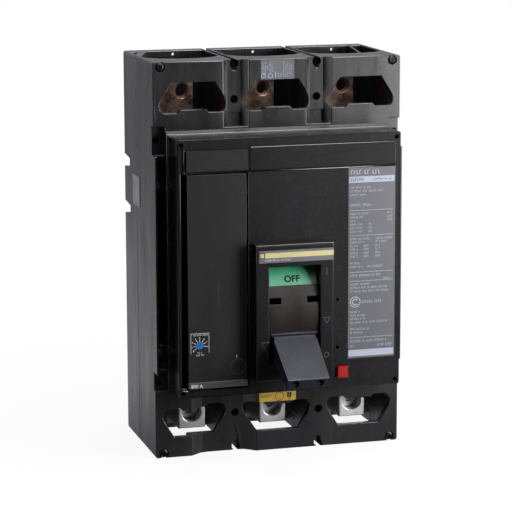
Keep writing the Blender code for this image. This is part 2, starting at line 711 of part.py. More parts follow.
def sector(inner, outer, low, high, steps):
    """Curved strip about the handle pin, as a (depth, z) outline."""
    points = []
    for i in range(steps + 1):
        points.append(polar(outer, low + (high - low) * i / steps))
    for i in range(steps + 1):
        points.append(polar(inner, high - (high - low) * i / steps))
    return points


def build_toggle_handle():
    root_top = polar(SHUTTER_R + 0.5, -14.8)
    root_low = polar(SHUTTER_R + 0.5, -35.8)
    profile = [root_top, (152.8, -58.0), (HANDLE_TIP_D - 0.8, -82.2), (HANDLE_TIP_D, -83.2),
               (HANDLE_TIP_D - 2.6, -89.4), (HANDLE_TIP_D - 4.0, -90.6), (153.5, -79.3), root_low,
               polar(SHUTTER_R + 0.5, -30), polar(SHUTTER_R + 0.5, -25),
               polar(SHUTTER_R + 0.5, -20)]
    bm = bmesh.new()
    add_prism(bm, profile, "x", -HANDLE_HALF_W, HANDLE_HALF_W)
    widen = 18.1 / HANDLE_HALF_W
    for vert in bm.verts:
        if -vert.co.y < 155 * MM:
            vert.co.x *= widen
    bmesh.ops.recalc_face_normals(bm, faces=bm.faces)
    handle = new_object("toggle_handle", bm, SLATE, place(PIVOT_D, PIVOT_Z))
    stem = bmesh.new()
    add_stem(stem, 54.8, 75, 6.6, 12.6)
    boolean(handle, stem, "stem", "UNION")
    recess = bmesh.new()
    for side in (-1, 1):
        add_cylinder(recess, "y", (side * 10.2, -86.9), 3.2, HANDLE_TIP_D - 9, 200, 16)
    boolean(handle, recess, "recess")
    return handle


def add_stem(bm, inner, outer, half, half_w):
    """Block along the handle's own direction, between two radii."""
    a = math.radians(HANDLE_OFF)
    along = (math.cos(a), math.sin(a))
    across = (-along[1], along[0])
    outline = []
    for r, side in ((inner, -1), (outer, -1), (outer, 1), (inner, 1)):
        outline.append((PIVOT_D + along[0] * r + across[0] * half * side,
                        PIVOT_Z + along[1] * r + across[1] * half * side))
    add_prism(bm, outline, "x", -half_w, half_w)


def build_shutters():
    pivot = place(PIVOT_D, PIVOT_Z)
    w = SHUTTER_HALF_W
    bm = bmesh.new()
    add_prism(bm, sector(SHUTTER_R - 2, SHUTTER_R, -62, 20.6, 22), "x", -w, w)
    shutter = new_object("toggle_shutter", bm, BROWN_PLASTIC, pivot)
    cut = bmesh.new()
    add_stem(cut, 58, 72, 7.0, 13.0)
    for side in (-1, 1):
        x = sorted((side * 10.8, side * (w + 1)))
        add_prism(cut, sector(60, 70, 7.8, 12.3, 2), "x", x[0], x[1])
    boolean(shutter, cut, "openings")
    smooth(shutter)

    parts = (("lower_shutter", 61.2, 62.6, -70, -34, 12, BROWN_PLASTIC, w),
             ("on_flag", 62.9, 63.7, -60, -48, 5, RED_PLASTIC, w - 0.4),
             ("off_flag", 63.0, 64.8, 20.9, 42, 8, GREEN_PLASTIC, w))
    for name, inner, outer, low, high, steps, finish, half_w in parts:
        bm = bmesh.new()
        add_prism(bm, sector(inner, outer, low, high, steps), "x", -half_w, half_w)
        smooth(new_object(name, bm, finish, pivot))


def build_handle_yoke():
    bm = bmesh.new()
    outline = circle((PIVOT_D, PIVOT_Z), 7.5, 8, HANDLE_OFF + 90, HANDLE_OFF + 270)
    outline += [polar(54.3, HANDLE_OFF - 11 + 5.5 * i) for i in range(5)]
    add_prism(bm, outline, "x", -22.9, 22.9)
    yoke = new_object("handle_yoke", bm, STEEL, place(PIVOT_D, PIVOT_Z))
    cut = bmesh.new()
    hollow = [polar(51.0, HANDLE_OFF + 20 - 8 * i) for i in range(6)]
    hollow += [polar(20.0, HANDLE_OFF - 150), polar(20.0, HANDLE_OFF + 150)]
    add_prism(cut, hollow, "x", -20.9, 20.9)
    boolean(yoke, cut, "hollow")
    trunnions = bmesh.new()
    for side in (-1, 1):
        x = sorted((side * 22.0, side * 26.2))
        add_cylinder(trunnions, "x", (PIVOT_D, PIVOT_Z), TRUNNION_R, x[0], x[1], 16)
    boolean(yoke, trunnions, "trunnions", "UNION")
    return yoke


def build_mechanism_frame():
    plate = [(59, -78), (62, -81), (92, -81), (100, -60), (100, -22), (92, -2), (62, -2),
             (59, -5)]
    for name, side in (("mechanism_side_left", -1), ("mechanism_side_right", 1)):
        bm = bmesh.new()
        x = sorted((side * 24.2, side * 26.2))
        add_prism(bm, plate, "x", x[0], x[1])
        cheek = new_object(name, bm, STEEL)
        holes = bmesh.new()
        add_cylinder(holes, "x", (PIVOT_D, PIVOT_Z), TRUNNION_R + GAP, x[0] - 1, x[1] + 1, 16)
        add_cylinder(holes, "x", CRADLE_PIVOT, PIN_R + GAP, x[0] - 1, x[1] + 1, 12)
        boolean(cheek, holes, "holes")
    bm = bmesh.new()
    add_cylinder(bm, "x", CRADLE_PIVOT, PIN_R, -26.5, 26.5, 12)
    smooth(new_object("cradle_pin", bm, STEEL))


def build_cradle():
    origin = place(*CRADLE_PIVOT)
    bm = bmesh.new()
    plate = circle(CRADLE_PIVOT, 5.5, 6, 135, 315)
    plate += [(96, -74), (98, -66), (86, -58)]
    plate += circle(LINK_TOP, 5.0, 6, 0, 150)
    add_prism(bm, plate, "x", -10.4, 10.4)
    cradle = new_object("cradle", bm, STEEL, origin)
    cut = bmesh.new()
    add_box(cut, (-8.4, 8.4), (50, 90), (-90, -40))
    boolean(cradle, cut, "fork")
    holes = bmesh.new()
    add_cylinder(holes, "x", CRADLE_PIVOT, PIN_R + GAP, -12, 12, 12)
    add_cylinder(holes, "x", LINK_TOP, PIN_R + GAP, -12, 12, 12)
    boolean(cradle, holes, "holes")
    return cradle


def knee_point(lever):
    """Knee of the two links for a lever end, on the front side."""
    dx, dz = lever[0] - LINK_TOP[0], lever[1] - LINK_TOP[1]
    reach = math.hypot(dx, dz)
    along = (UPPER_LINK ** 2 - LOWER_LINK ** 2 + reach ** 2) / (2 * reach)
    out = math.sqrt(UPPER_LINK ** 2 - along ** 2)
    ux, uz = dx / reach, dz / reach
    return (LINK_TOP[0] + ux * along + uz * out, LINK_TOP[1] + uz * along - ux * out)


def build_links():
    lever = lever_end()
    knee = knee_point(lever)
    bm = bmesh.new()
    for side in (-1, 1):
        x = sorted((side * 11.0, side * 13.0))
        add_link(bm, LINK_TOP, knee, 4.2, x[0], x[1])
    upper = new_object("upper_link", bm, STEEL, place(*LINK_TOP))
    pin = bmesh.new()
    add_cylinder(pin, "x", LINK_TOP, PIN_R, -12, 12, 12)
    boolean(upper, pin, "pin", "UNION")
    bm = bmesh.new()
    for side in (-1, 1):
        x = sorted((side * 13.5, side * 15.5))
        add_link(bm, lever, knee, 4.2, x[0], x[1])
    lower = new_object("lower_link", bm, STEEL, place(*lever))
    pin = bmesh.new()
    add_cylinder(pin, "x", lever, PIN_R, -18.4, 18.4, 12)
    boolean(lower, pin, "pin", "UNION")


def coil(name, start, end, radius, wire, turns, x, finish, origin=None):
    """Round wire coil between two (depth, z) points in the plane at x."""
    a = place(start[0], start[1], x)
    b = place(end[0], end[1], x)
    axis = (b - a).normalized()
    side = axis.orthogonal().normalized()
    other = axis.cross(side)
    steps, sides = turns * 10, 5
    bm = bmesh.new()
    rings = []
    for i in range(steps + 1):
        turn = 2 * math.pi * i / 10
        out = side * math.cos(turn) + other * math.sin(turn)
        centre = a.lerp(b, i / steps) + out * radius * MM
        ring = []
        for k in range(sides):
            phi = 2 * math.pi * k / sides
            ring.append(bm.verts.new(centre + (out * math.cos(phi) + axis * math.sin(phi))
                                     * wire * MM))
        rings.append(ring)
    for one, two in zip(rings, rings[1:]):
        for k in range(sides):
            m = (k + 1) % sides
            bm.faces.new((one[k], one[m], two[m], two[k]))
    bm.faces.new(rings[0])
    bm.faces.new(rings[-1])
    bmesh.ops.recalc_face_normals(bm, faces=bm.faces)
    return smooth(new_object(name, bm, finish, origin), 60)


def build_main_spring():
    coil("main_spring", polar(22, HANDLE_OFF), polar(48.5, HANDLE_OFF), 5.5, 0.9, 6, 0.0,
         DARK_STEEL, place(PIVOT_D, PIVOT_Z))


# --- trip system -------------------------------------------------------------------
def build_trip_unit():
    bm = bmesh.new()
    add_box(bm, (-84.5, -38.0), (96, 135.5), (-96, 75))
    housing = new_object("trip_unit_housing", bm, DARK_PLASTIC)
    cut = bmesh.new()
    add_box(cut, (-82.5, -40.0), (90, 133), (-94, 73))
    boolean(housing, cut, "hollow")
    bore = bmesh.new()
    add_cylinder(bore, "y", DIAL_AT, 2.2, 130, 140, 12)
    boolean(housing, bore, "dial_bore")
    box_object("trip_circuit_board", (-82, -40.5), (122, 123.6), (-93, 72), BOARD)

    plate = box_object("trip_faceplate", PLATE_X, (135.8, 140.2), (-91.9, 76.8), DARK_PLASTIC)
    hole = bmesh.new()
    add_cylinder(hole, "y", DIAL_AT, DIAL_R + GAP, 130, 145, 20)
    boolean(plate, hole, "dial_hole")
    box_object("rating_plate", PLATE_X, (135.8, 140.6), (-97.6, -92.3), SLATE)

    bm = bmesh.new()
    add_cylinder(bm, "y", DIAL_AT, DIAL_R, 136.4, 140.9, 20)
    dial = new_object("adjustment_dial", bm, BLUE_PLASTIC, place(138, DIAL_AT[1], DIAL_AT[0]))
    slot = bmesh.new()
    arrow = [(-0.45, -2.0), (0.45, -2.0), (0.45, 1.0), (0.0, 2.1), (-0.45, 1.0)]
    a = math.radians(-40)
    turned_arrow = []
    for px, pz in arrow:
        turned_arrow.append((DIAL_AT[0] + px * math.cos(a) - pz * math.sin(a),
                             DIAL_AT[1] + px * math.sin(a) + pz * math.cos(a)))
    add_prism(slot, turned_arrow, "y", 140.1, 145)
    boolean(dial, slot, "arrow")
    smooth(dial)


def build_trip_button():
    mid_x = sum(BUTTON_X) / 2
    mid_z = sum(BUTTON_Z) / 2
    x = (BUTTON_X[0] + GAP, BUTTON_X[1] - GAP)
    z = (BUTTON_Z[0] + GAP, BUTTON_Z[1] - GAP)
    bm = bmesh.new()
    add_prism(bm, rounded_rect(x, z, 1.0, 3), "y", 134, 142.0)
    button = new_object("trip_button", bm, RED_PLASTIC, place(138, mid_z, mid_x))
    rest = bmesh.new()
    add_box(rest, (x[0] - 1.6, x[1] + 1.6), (133.0, 136.6), (z[0] - 1.6, z[1] + 1.6))
    add_box(rest, (mid_x - 2, mid_x + 2), (STEM_END, 133.5), (mid_z - 1.6, mid_z + 1.6))
    boolean(button, rest, "stem", "UNION")
    coil("button_spring", (122.5, mid_z), (129.4, mid_z), 3.6, 0.4, 4, mid_x, STEEL)


def build_trip_bar():
    mid_x = sum(BUTTON_X) / 2
    origin = place(*TRIP_BAR)
    bm = bmesh.new()
    add_cylinder(bm, "x", TRIP_BAR, 3.5, 30, 86, 16)
    bar = new_object("trip_bar", bm, DARK_PLASTIC, origin)
    arms = bmesh.new()
    paddle = [(TRIP_BAR[0] - 2, TRIP_BAR[1]), (TRIP_BAR[0] + 2, TRIP_BAR[1]),
              (STEM_END - 0.4, -79), (STEM_END - 0.4, -95), (STEM_END - 3, -95),
              (STEM_END - 3, -81)]
    add_prism(arms, paddle, "x", mid_x - 3.5, mid_x + 3.5)
    add_box(arms, (61, 69), (TRIP_BAR[0], 124), (TRIP_BAR[1] - 1.5, TRIP_BAR[1] + 1.5))
    boolean(bar, arms, "arms", "UNION")
    smooth(bar)

    actuator = box_object("trip_actuator", (52, 78), (96, 130), (-48, -10), DARK_PLASTIC)
    bore = bmesh.new()
    add_cylinder(bore, "z", (65, 119), 2.9, -50, -20, 12)
    boolean(actuator, bore, "bore")
    bm = bmesh.new()
    add_cylinder(bm, "z", (65, 119), 2.5, TRIP_BAR[1] + 6.0, -26, 12)
    smooth(new_object("actuator_plunger", bm, STEEL, place(119, -60, 65)))


def build_blank_plate():
    box_object("blank_plate", BLANK_X, (138.7, 141.2), BLANK_Z, BLACK_PLASTIC, 0.6)


def main():
    clear_scene()
    build_rear_base()
    build_main_cover()
    build_front_cover()
    build_toggle_bezel()
    build_blank_plate()
    build_labels()
    build_corner_screws()
    for number, pole in enumerate(POLES, start=1):
        build_line_terminal(number, pole)
        build_load_terminal(number, pole)
        build_lug(number, pole)
        build_lug_screw(number, pole)
        build_arc_chute(number, pole)
        build_current_transformer(number, pole)
        build_moving_contact(number, pole)
    build_crossbar()
    build_toggle_handle()
    build_shutters()
    build_handle_yoke()
    build_mechanism_frame()
    build_cradle()
    build_links()
    build_main_spring()
    build_trip_unit()
    build_trip_button()
    build_trip_bar()


main()
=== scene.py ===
"""Looks of a three-pole moulded case circuit breaker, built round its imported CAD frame.

The CAD gives every shape its place.  Here its shells get rounded edges, the labels
their printing, the open holes their screws, and every surface a procedural finish.
"""

import json
import math
import random

import bmesh
import bpy
from mathutils import Matrix, Vector
from mathutils.bvhtree import BVHTree


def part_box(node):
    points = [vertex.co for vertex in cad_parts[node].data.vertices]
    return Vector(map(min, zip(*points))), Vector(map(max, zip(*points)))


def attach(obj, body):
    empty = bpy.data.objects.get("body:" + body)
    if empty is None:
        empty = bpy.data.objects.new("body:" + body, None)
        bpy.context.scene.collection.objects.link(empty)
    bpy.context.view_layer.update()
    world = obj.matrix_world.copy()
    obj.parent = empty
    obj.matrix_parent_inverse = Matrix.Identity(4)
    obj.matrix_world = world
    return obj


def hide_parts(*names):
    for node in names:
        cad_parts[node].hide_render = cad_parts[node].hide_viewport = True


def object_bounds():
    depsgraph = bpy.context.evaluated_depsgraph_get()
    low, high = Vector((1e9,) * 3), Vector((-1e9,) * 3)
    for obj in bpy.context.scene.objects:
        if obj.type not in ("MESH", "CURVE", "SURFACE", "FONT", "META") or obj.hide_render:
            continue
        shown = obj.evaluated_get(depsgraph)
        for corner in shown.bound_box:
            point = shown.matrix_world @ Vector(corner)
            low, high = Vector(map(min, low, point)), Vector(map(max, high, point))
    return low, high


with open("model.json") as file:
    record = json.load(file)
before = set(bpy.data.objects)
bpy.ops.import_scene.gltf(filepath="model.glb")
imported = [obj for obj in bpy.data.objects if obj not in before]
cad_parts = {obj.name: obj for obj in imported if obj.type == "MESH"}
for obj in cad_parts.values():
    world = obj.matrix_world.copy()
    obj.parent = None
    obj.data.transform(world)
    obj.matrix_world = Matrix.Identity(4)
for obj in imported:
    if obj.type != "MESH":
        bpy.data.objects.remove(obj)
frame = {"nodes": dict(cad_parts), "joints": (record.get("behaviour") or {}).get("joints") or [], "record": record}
cad_low, cad_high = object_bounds()

MM = 0.001
WELD = 1e-6
INK = 0.05 * MM             # thickness of printed marks
NODES = frame["nodes"]
SLOTS = {part["node"]: part["material_slot"] for part in frame["record"]["subparts"]}
BODY_OF = {node: body for body, names in frame["record"]["behaviour"]["bodies"].items()
           for node in names}
HANDLE_PIVOT = Vector(next(joint["pos_m"] for joint in frame["joints"]
                           if joint["name"] == "handle_swing"))
DRAW = random.Random(7)     # fixed seed, so the small print is the same each run

# --- light levels, of the floor and of the surround ------------------------------
FLOOR_FRONT = 0.07
FLOOR_BACK = 0.64
SURROUND_FRONT = 0.05
SURROUND_BACK = 0.50

# --- finish settings -------------------------------------------------------------
UP = (0.0, 0.0, 1.0)
FRONT = (0.0, -1.0, 0.0)
WORN_AND_HIGHLIGHT_GAIN = 6.5             # rubbed edges and painted edge highlight, against the plain plastic
SPECKLE_GAIN = 4.0          # pale grains against the plain plastic
SCRATCH_COLOUR = (0.16, 0.16, 0.17)
DUST_COLOUR = (0.40, 0.39, 0.42)

# --- edge rounding, as multiples of the round's width ----------------------------
FREE_SURFACE = 1.6          # flat surface that an edge needs on both sides
LONG_EDGE = 12.0            # edges longer than this get extra points
END_POINT = 2.0             # where those points sit from the ends

# --- adjustment dial -------------------------------------------------------------
DIAL_TICKS = 8
DIAL_FIRST = 220.0          # degrees of the first tick, from the right
DIAL_STEP = 32.7


# --- materials -------------------------------------------------------------------
def is_socket(value):
    return hasattr(value, "is_linked")


class Shader:
    """Adds and links the nodes of one material."""

    def __init__(self, name):
        self.mat = bpy.data.materials.new(name)
        self.mat.use_nodes = True
        self.tree = self.mat.node_tree
        self.out = self.tree.nodes["Principled BSDF"]

    def node(self, kind, **values):
        made = self.tree.nodes.new("ShaderNode" + kind)
        for key, value in values.items():
            setattr(made, key, value)
        return made

    def feed(self, target, value):
        """Link a socket, or set a number or colour."""
        if is_socket(value):
            self.tree.links.new(value, target)
        elif isinstance(value, tuple):
            target.default_value = (*value, 1.0)
        else:
            target.default_value = value

    def noise(self, scale, detail=4.0, rough=0.55, stretch=(1.0, 1.0, 1.0), turn=0.0):
        """Noise in the object's own metres; scale is features per metre."""
        mapping = self.node("Mapping")
        mapping.vector_type = "TEXTURE"
        mapping.inputs["Rotation"].default_value = (turn, turn, 0.0)
        mapping.inputs["Scale"].default_value = tuple(1 / factor for factor in stretch)
        self.feed(mapping.inputs["Vector"], self.node("TexCoord").outputs["Object"])
        made = self.node("TexNoise")
        self.feed(made.inputs["Vector"], mapping.outputs["Vector"])
        made.inputs["Scale"].default_value = scale
        made.inputs["Detail"].default_value = detail
        made.inputs["Roughness"].default_value = rough
        return made.outputs["Fac"]

    def ramp(self, value, low, high, out_low=0.0, out_high=1.0):
        made = self.node("MapRange")
        made.inputs["From Min"].default_value = low
        made.inputs["From Max"].default_value = high
        made.inputs["To Min"].default_value = out_low
        made.inputs["To Max"].default_value = out_high
        self.feed(made.inputs["Value"], value)
        return made.outputs["Result"]

    def mix(self, factor, first, second):
        made = self.node("Mix", data_type="RGBA")
        self.feed(made.inputs[0], factor)
        self.feed(made.inputs[6], first)
        self.feed(made.inputs[7], second)
        return made.outputs[2]

    def math(self, operation, first, second):
        made = self.node("Math", operation=operation)
        self.feed(made.inputs[0], first)
        self.feed(made.inputs[1], second)
        return made.outputs["Value"]

    def edge_mask(self, radius, gain=6.0):
        """About 1 beside sharp edges, 0 on flat faces."""
        bevel = self.node("Bevel", samples=4)
        bevel.inputs["Radius"].default_value = radius
        dot = self.node("VectorMath", operation="DOT_PRODUCT")
        self.feed(dot.inputs[0], bevel.outputs["Normal"])
        self.feed(dot.inputs[1], self.node("NewGeometry").outputs["Normal"])
        away = self.math("SUBTRACT", 1.0, dot.outputs["Value"])
        return self.math("MINIMUM", self.math("MULTIPLY", away, gain), 1.0)

    def facing(self, heading, low, high):
        """From 0 to 1 as the surface turns towards a heading."""
        dot = self.node("VectorMath", operation="DOT_PRODUCT")
        self.feed(dot.inputs[0], self.node("NewGeometry").outputs["Normal"])
        dot.inputs[1].default_value = heading
        return self.ramp(dot.outputs["Value"], low, high)

    def scratches(self, amount):
        """Sparse pale hairlines in two directions."""
        total = None
        for turn in (0.0, 0.7):
            fine = self.noise(9.0, 3.0, 0.6, (60.0, 60.0, 3.0), turn)
            patch = self.ramp(self.noise(16.0, 2.0), 0.50, 0.66)
            line = self.math("MULTIPLY", self.ramp(fine, 0.66, 0.72), patch)
            total = line if total is None else self.math("MAXIMUM", total, line)
        return self.math("MULTIPLY", total, amount)

    def bump(self, heights):
        """Chain of bumps, each given as (height, strength, distance)."""
        last = None
        for height, strength, distance in heights:
            made = self.node("Bump")
            made.inputs["Strength"].default_value = strength
            made.inputs["Distance"].default_value = distance
            self.feed(made.inputs["Height"], height)
            if last is not None:
                self.feed(made.inputs["Normal"], last)
            last = made.outputs["Normal"]
        self.feed(self.out.inputs["Normal"], last)


def shade(colour, gain):
    return tuple(min(1.0, c * gain) for c in colour)


def moulded_colour(s, colour, wear_and_highlight, mottle, speckle):
    """Flow mottling, rubbed edges partly painted as edge highlight, and pale grains of a moulded part."""
    cloud = s.ramp(s.noise(26.0, 5.0, 0.6, (1.0, 1.0, 0.35)), 0.3, 0.7)
    base = s.mix(cloud, shade(colour, 1 - mottle), shade(colour, 1 + mottle))
    # Lighter edges: partly rubbed wear, partly a painted edge highlight.
    patchy = s.ramp(s.noise(210.0, 3.0), 0.35, 0.75, 0.2, 1.0)
    rubbed_and_highlight = s.math("MULTIPLY", s.edge_mask(0.5 * MM), patchy)
    base = s.mix(s.math("MULTIPLY", rubbed_and_highlight, wear_and_highlight), base, shade(colour, WORN_AND_HIGHLIGHT_GAIN))
    if speckle > 0:
        dots = s.ramp(s.noise(620.0, 2.0, 0.7), 0.52, 0.72)
        base = s.mix(s.math("MULTIPLY", dots, speckle), base, shade(colour, SPECKLE_GAIN))
    return base


def settled_dust(s, amount):
    """Specks on the faces that look up."""
    specks = s.ramp(s.noise(120.0, 6.0), 0.35, 0.7, 0.3, 1.0)
    upward = s.facing(UP, 0.4, 1.0)
    return s.math("MULTIPLY", s.math("MULTIPLY", upward, specks), amount)


def plastic(name, colour, rough, grain=0.12, grain_scale=1500.0, wear_and_highlight=0.35, mottle=0.2,
            dust=0.0, scratched=0.0, specular=0.5, speckle=0.0, sides=None):
    """Moulded plastic: grain, flow mottling, rubbed edges with a painted edge highlight, scratches and settled
    dust.

    With sides, faces that don't look to the front are smooth, with that roughness.
    """
    s = Shader(name)
    s.feed(s.out.inputs["Specular IOR Level"], specular)
    base = moulded_colour(s, colour, wear_and_highlight, mottle, speckle)
    streaks = s.noise(48.0, 6.0, 0.65, (1.0, 1.0, 0.22))
    shine = s.ramp(streaks, 0.3, 0.7, rough - 0.06, rough + 0.12)
    if scratched > 0:
        marks = s.scratches(scratched)
        base = s.mix(marks, base, SCRATCH_COLOUR)
        shine = s.math("ADD", shine, s.math("MULTIPLY", marks, 0.3))
    if dust > 0:
        settled = settled_dust(s, dust)
        base = s.mix(settled, base, DUST_COLOUR)
        shine = s.math("ADD", shine, s.math("MULTIPLY", settled, 0.5))
    relief = s.noise(grain_scale, 2.0)
    if sides is not None:
        front = s.facing(FRONT, 0.90, 0.99)
        relief = s.math("MULTIPLY", relief, front)
        extra = s.math("MULTIPLY", s.math("SUBTRACT", shine, sides), front)
        shine = s.math("ADD", extra, sides)
        s.feed(s.out.inputs["Specular IOR Level"], s.ramp(front, 0.0, 1.0, 0.5, specular))
    s.feed(s.out.inputs["Base Color"], base)
    s.feed(s.out.inputs["Roughness"], shine)
    s.bump(((relief, grain, 0.12 * MM), (s.noise(16.0, 2.0), 0.05, 0.6 * MM)))
    return s.mat


def metal(name, colour, rough, stretch=(1.0, 1.0, 12.0), tarnish=None, amount=0.4,
          metallic=1.0):
    """Brushed metal, with tarnish in patches where a tarnish colour is given."""
    s = Shader(name)
    s.out.inputs["Metallic"].default_value = metallic
    lines = s.noise(240.0, 4.0, 0.6, stretch)
    base = s.mix(s.ramp(lines, 0.3, 0.7), shade(colour, 0.80), shade(colour, 1.15))
    if tarnish is not None:
        patches = s.ramp(s.noise(95.0, 7.0, 0.65), 0.42, 0.62)
        base = s.mix(s.math("MULTIPLY", patches, amount), base, tarnish)
    base = s.mix(s.math("MULTIPLY", s.edge_mask(0.4 * MM), 0.4), base, shade(colour, 1.6))
    s.feed(s.out.inputs["Base Color"], base)
    s.feed(s.out.inputs["Roughness"], s.ramp(lines, 0.25, 0.75, rough - 0.08, rough + 0.12))
    s.bump(((lines, 0.12, 0.1 * MM), (s.noise(500.0, 3.0), 0.08, 0.1 * MM)))
    return s.mat


def film(name, colour, rough=0.5, vary=0.07, scuff=0.0, specular=0.5):
    """Printed film: an even colour, faintly cloudy, with a slight orange peel."""
    s = Shader(name)
    s.feed(s.out.inputs["Specular IOR Level"], specular)
    cloud = s.ramp(s.noise(60.0, 4.0), 0.3, 0.7)
    base = s.mix(cloud, shade(colour, 1 - vary), shade(colour, 1 + vary))
    if scuff > 0:
        base = s.mix(s.scratches(scuff), base, shade(colour, 1.8))
    s.feed(s.out.inputs["Base Color"], base)
    s.feed(s.out.inputs["Roughness"], s.ramp(s.noise(240.0, 3.0), 0.3, 0.7, rough - 0.06,
                                             rough + 0.06))
    s.bump(((s.noise(900.0, 2.0), 0.06, 0.08 * MM),))
    return s.mat


BLACK = (0.0072, 0.0070, 0.0078)
FINISH = {
    "black_plastic": plastic("case_black", BLACK, 0.28, wear_and_highlight=0.6, mottle=0.4, dust=0.12,
                             scratched=0.22),
    "rear_black": plastic("rear_black", (0.0110, 0.0105, 0.0125), 0.26, wear_and_highlight=0.5, mottle=0.4,
                          dust=0.12, scratched=0.25, specular=0.6),
    "textured_black": plastic("cover_black", (0.0042, 0.0040, 0.0046), 0.42, 0.9, 1000.0,
                              mottle=0.3, dust=0.06, scratched=0.12, specular=0.13,
                              speckle=0.6, sides=0.18),
    "dark_plastic": plastic("trip_grey", (0.0090, 0.0080, 0.0080), 0.50, 0.3, 1300.0,
                            mottle=0.1, scratched=0.1, specular=0.18, speckle=0.3,
                            sides=0.25),
    "rating_grey": plastic("rating_grey", (0.040, 0.041, 0.048), 0.45, 0.2, mottle=0.1),
    "handle_plastic": plastic("handle_slate", (0.0085, 0.0092, 0.0165), 0.42, 0.6, 1200.0,
                              wear_and_highlight=0.5, mottle=0.6, scratched=0.2, specular=0.22,
                              speckle=0.35),
    "shutter_plastic": plastic("shutter_brown", (0.0105, 0.0068, 0.0062), 0.34, 0.06,
                               wear_and_highlight=0.6, specular=0.32),
    "green_flag": film("flag_green", (0.030, 0.235, 0.115), 0.45),
    "red_plastic": plastic("button_red", (0.22, 0.003, 0.004), 0.35, wear_and_highlight=0.12, specular=0.25),
    "blue_plastic": plastic("dial_blue", (0.010, 0.12, 0.36), 0.35, wear_and_highlight=0.12),
    "grey_label": film("label_grey", (0.060, 0.060, 0.072), scuff=0.25),
    "strip_grey": film("strip_grey", (0.085, 0.085, 0.100)),
    "yellow_label": film("label_yellow", (0.50, 0.35, 0.035)),
    "pale_sticker": film("seal_film", (0.46, 0.50, 0.54), 0.35, 0.25),
    "steel": metal("zinc_steel", (0.42, 0.42, 0.44), 0.34),
    "dark_steel": metal("black_steel", (0.022, 0.021, 0.023), 0.36),
    "copper": metal("terminal_copper", (0.52, 0.33, 0.26), 0.42, (1.0, 1.0, 1.0),
                    (0.060, 0.035, 0.028), 0.9, 0.35),
    "aluminium": metal("tinned_lug", (0.67, 0.67, 0.66), 0.34, metallic=0.85),
    "fibre": plastic("fibre_red", (0.20, 0.08, 0.04), 0.7, 0.4),
    "board": plastic("board_green", (0.02, 0.12, 0.05), 0.4),
    "screw_black": metal("screw_black", (0.30, 0.30, 0.31), 0.30),
    "print_white": film("print_white", (0.26, 0.28, 0.34)),
    # Brighter copy of the white ink: painted light for print where the key lamp falls off.
    "print_white_painted_lit": film("print_white_painted_lit", (0.55, 0.56, 0.60)),
    "print_dark": film("print_dark", (0.005, 0.006, 0.006), 0.6, specular=0.12),
    "print_yellow": film("print_yellow", (0.42, 0.37, 0.17)),
    "print_red": film("print_red", (0.50, 0.05, 0.02)),
    "print_red_dark": film("print_red_dark", (0.16, 0.008, 0.010)),
    "engraving": film("engraving", (0.040, 0.040, 0.043)),
}
FINISH_OF = dict(SLOTS)
FINISH_OF.update(front_cover="textured_black", blank_plate="dark_plastic",
                 toggle_bezel="textured_black", rating_plate="rating_grey",
                 rear_base="rear_black", bezel_strip="strip_grey")

for node, obj in NODES.items():
    obj.data.materials.clear()
    obj.data.materials.append(FINISH[FINISH_OF[node]])


# --- building blocks -------------------------------------------------------------
def add_piece(name, bm, body, finish, angle=35.0):
    """Mesh piece in world metres, smooth up to an edge angle, riding on a body."""
    mesh = bpy.data.meshes.new(name)
    bm.to_mesh(mesh)
    bm.free()
    obj = bpy.data.objects.new(name, mesh)
    bpy.context.scene.collection.objects.link(obj)
    mesh.materials.append(FINISH[finish])
    mesh.shade_smooth()
    mesh.set_sharp_from_angle(angle=math.radians(angle))
    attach(obj, body)
    return obj


def has_room(tree, loop, reach):
    """True if the flat surface on one side of an edge goes on for the given reach."""
    start = loop.vert.co
    end = loop.link_loop_next.vert.co
    inward = loop.face.normal.cross(end - start).normalized()
    _, normal, _, away = tree.find_nearest((start + end) / 2 + inward * reach)
    return away < 0.05 * MM and normal.dot(loop.face.normal) > 0.99


def cut_near_ends(edge, weight, reach):
    """Extra points near both ends of a long edge, so that its rounding stays even."""
    for vert in tuple(edge.verts):
        other, _ = bmesh.utils.edge_split(edge, vert, reach / edge.calc_length())
        other[weight] = 1.0
        edge[weight] = 1.0


def can_round(edge, shortest, foremost):
    """True for a long convex edge with a clear angle, not wholly in front of foremost."""
    if len(edge.link_faces) != 2 or edge.calc_length() < shortest * MM:
        return False
    if not edge.is_convex or edge.calc_face_angle() < math.radians(30):
        return False
    return foremost is None or max(vert.co.y for vert in edge.verts) >= foremost


def mark_edges(bm, width, shortest, foremost):
    """Weight the edges that have room for a round of the given width, in mm."""
    weight = bm.edges.layers.float.new("bevel_weight_edge")
    bm.normal_update()
    tree = BVHTree.FromBMesh(bm)
    for edge in bm.edges:
        if not can_round(edge, shortest, foremost):
            continue
        if all(has_room(tree, loop, FREE_SURFACE * width * MM) for loop in edge.link_loops):
            edge[weight] = 1.0
    chosen = [edge for edge in bm.edges if edge[weight] > 0]
    for edge in chosen:
        if edge.calc_length() > LONG_EDGE * width * MM:
            cut_near_ends(edge, weight, END_POINT * width * MM)


def round_edges(shell, width, segments):
    """Bevel the weighted edges; the new faces take material index 1."""
    bevel = shell.modifiers.new("edge_round", "BEVEL")
    bevel.width = width * MM
    bevel.segments = segments
    bevel.limit_method = "WEIGHT"
    bevel.use_clamp_overlap = False
    bevel.material = 1
    rounded = bpy.data.meshes.new_from_object(shell.evaluated_get(
        bpy.context.evaluated_depsgraph_get()))
    shell.modifiers.remove(bevel)
    shell.data = rounded


def refine(node, width, segments=2, shortest=1.5, foremost=None):
    """Copy of a CAD shell with its long edges rounded, in its place."""
    bm = bmesh.new()
    bm.from_mesh(NODES[node].data)
    bmesh.ops.remove_doubles(bm, verts=bm.verts, dist=WELD)
    mark_edges(bm, width, shortest, foremost)
    shell = add_piece(node + "_shell", bm, BODY_OF[node], FINISH_OF[node])
    shell.data.materials.append(FINISH[FINISH_OF[node]])
    round_edges(shell, width, segments)
    settle_normals(shell.data)
    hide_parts(node)


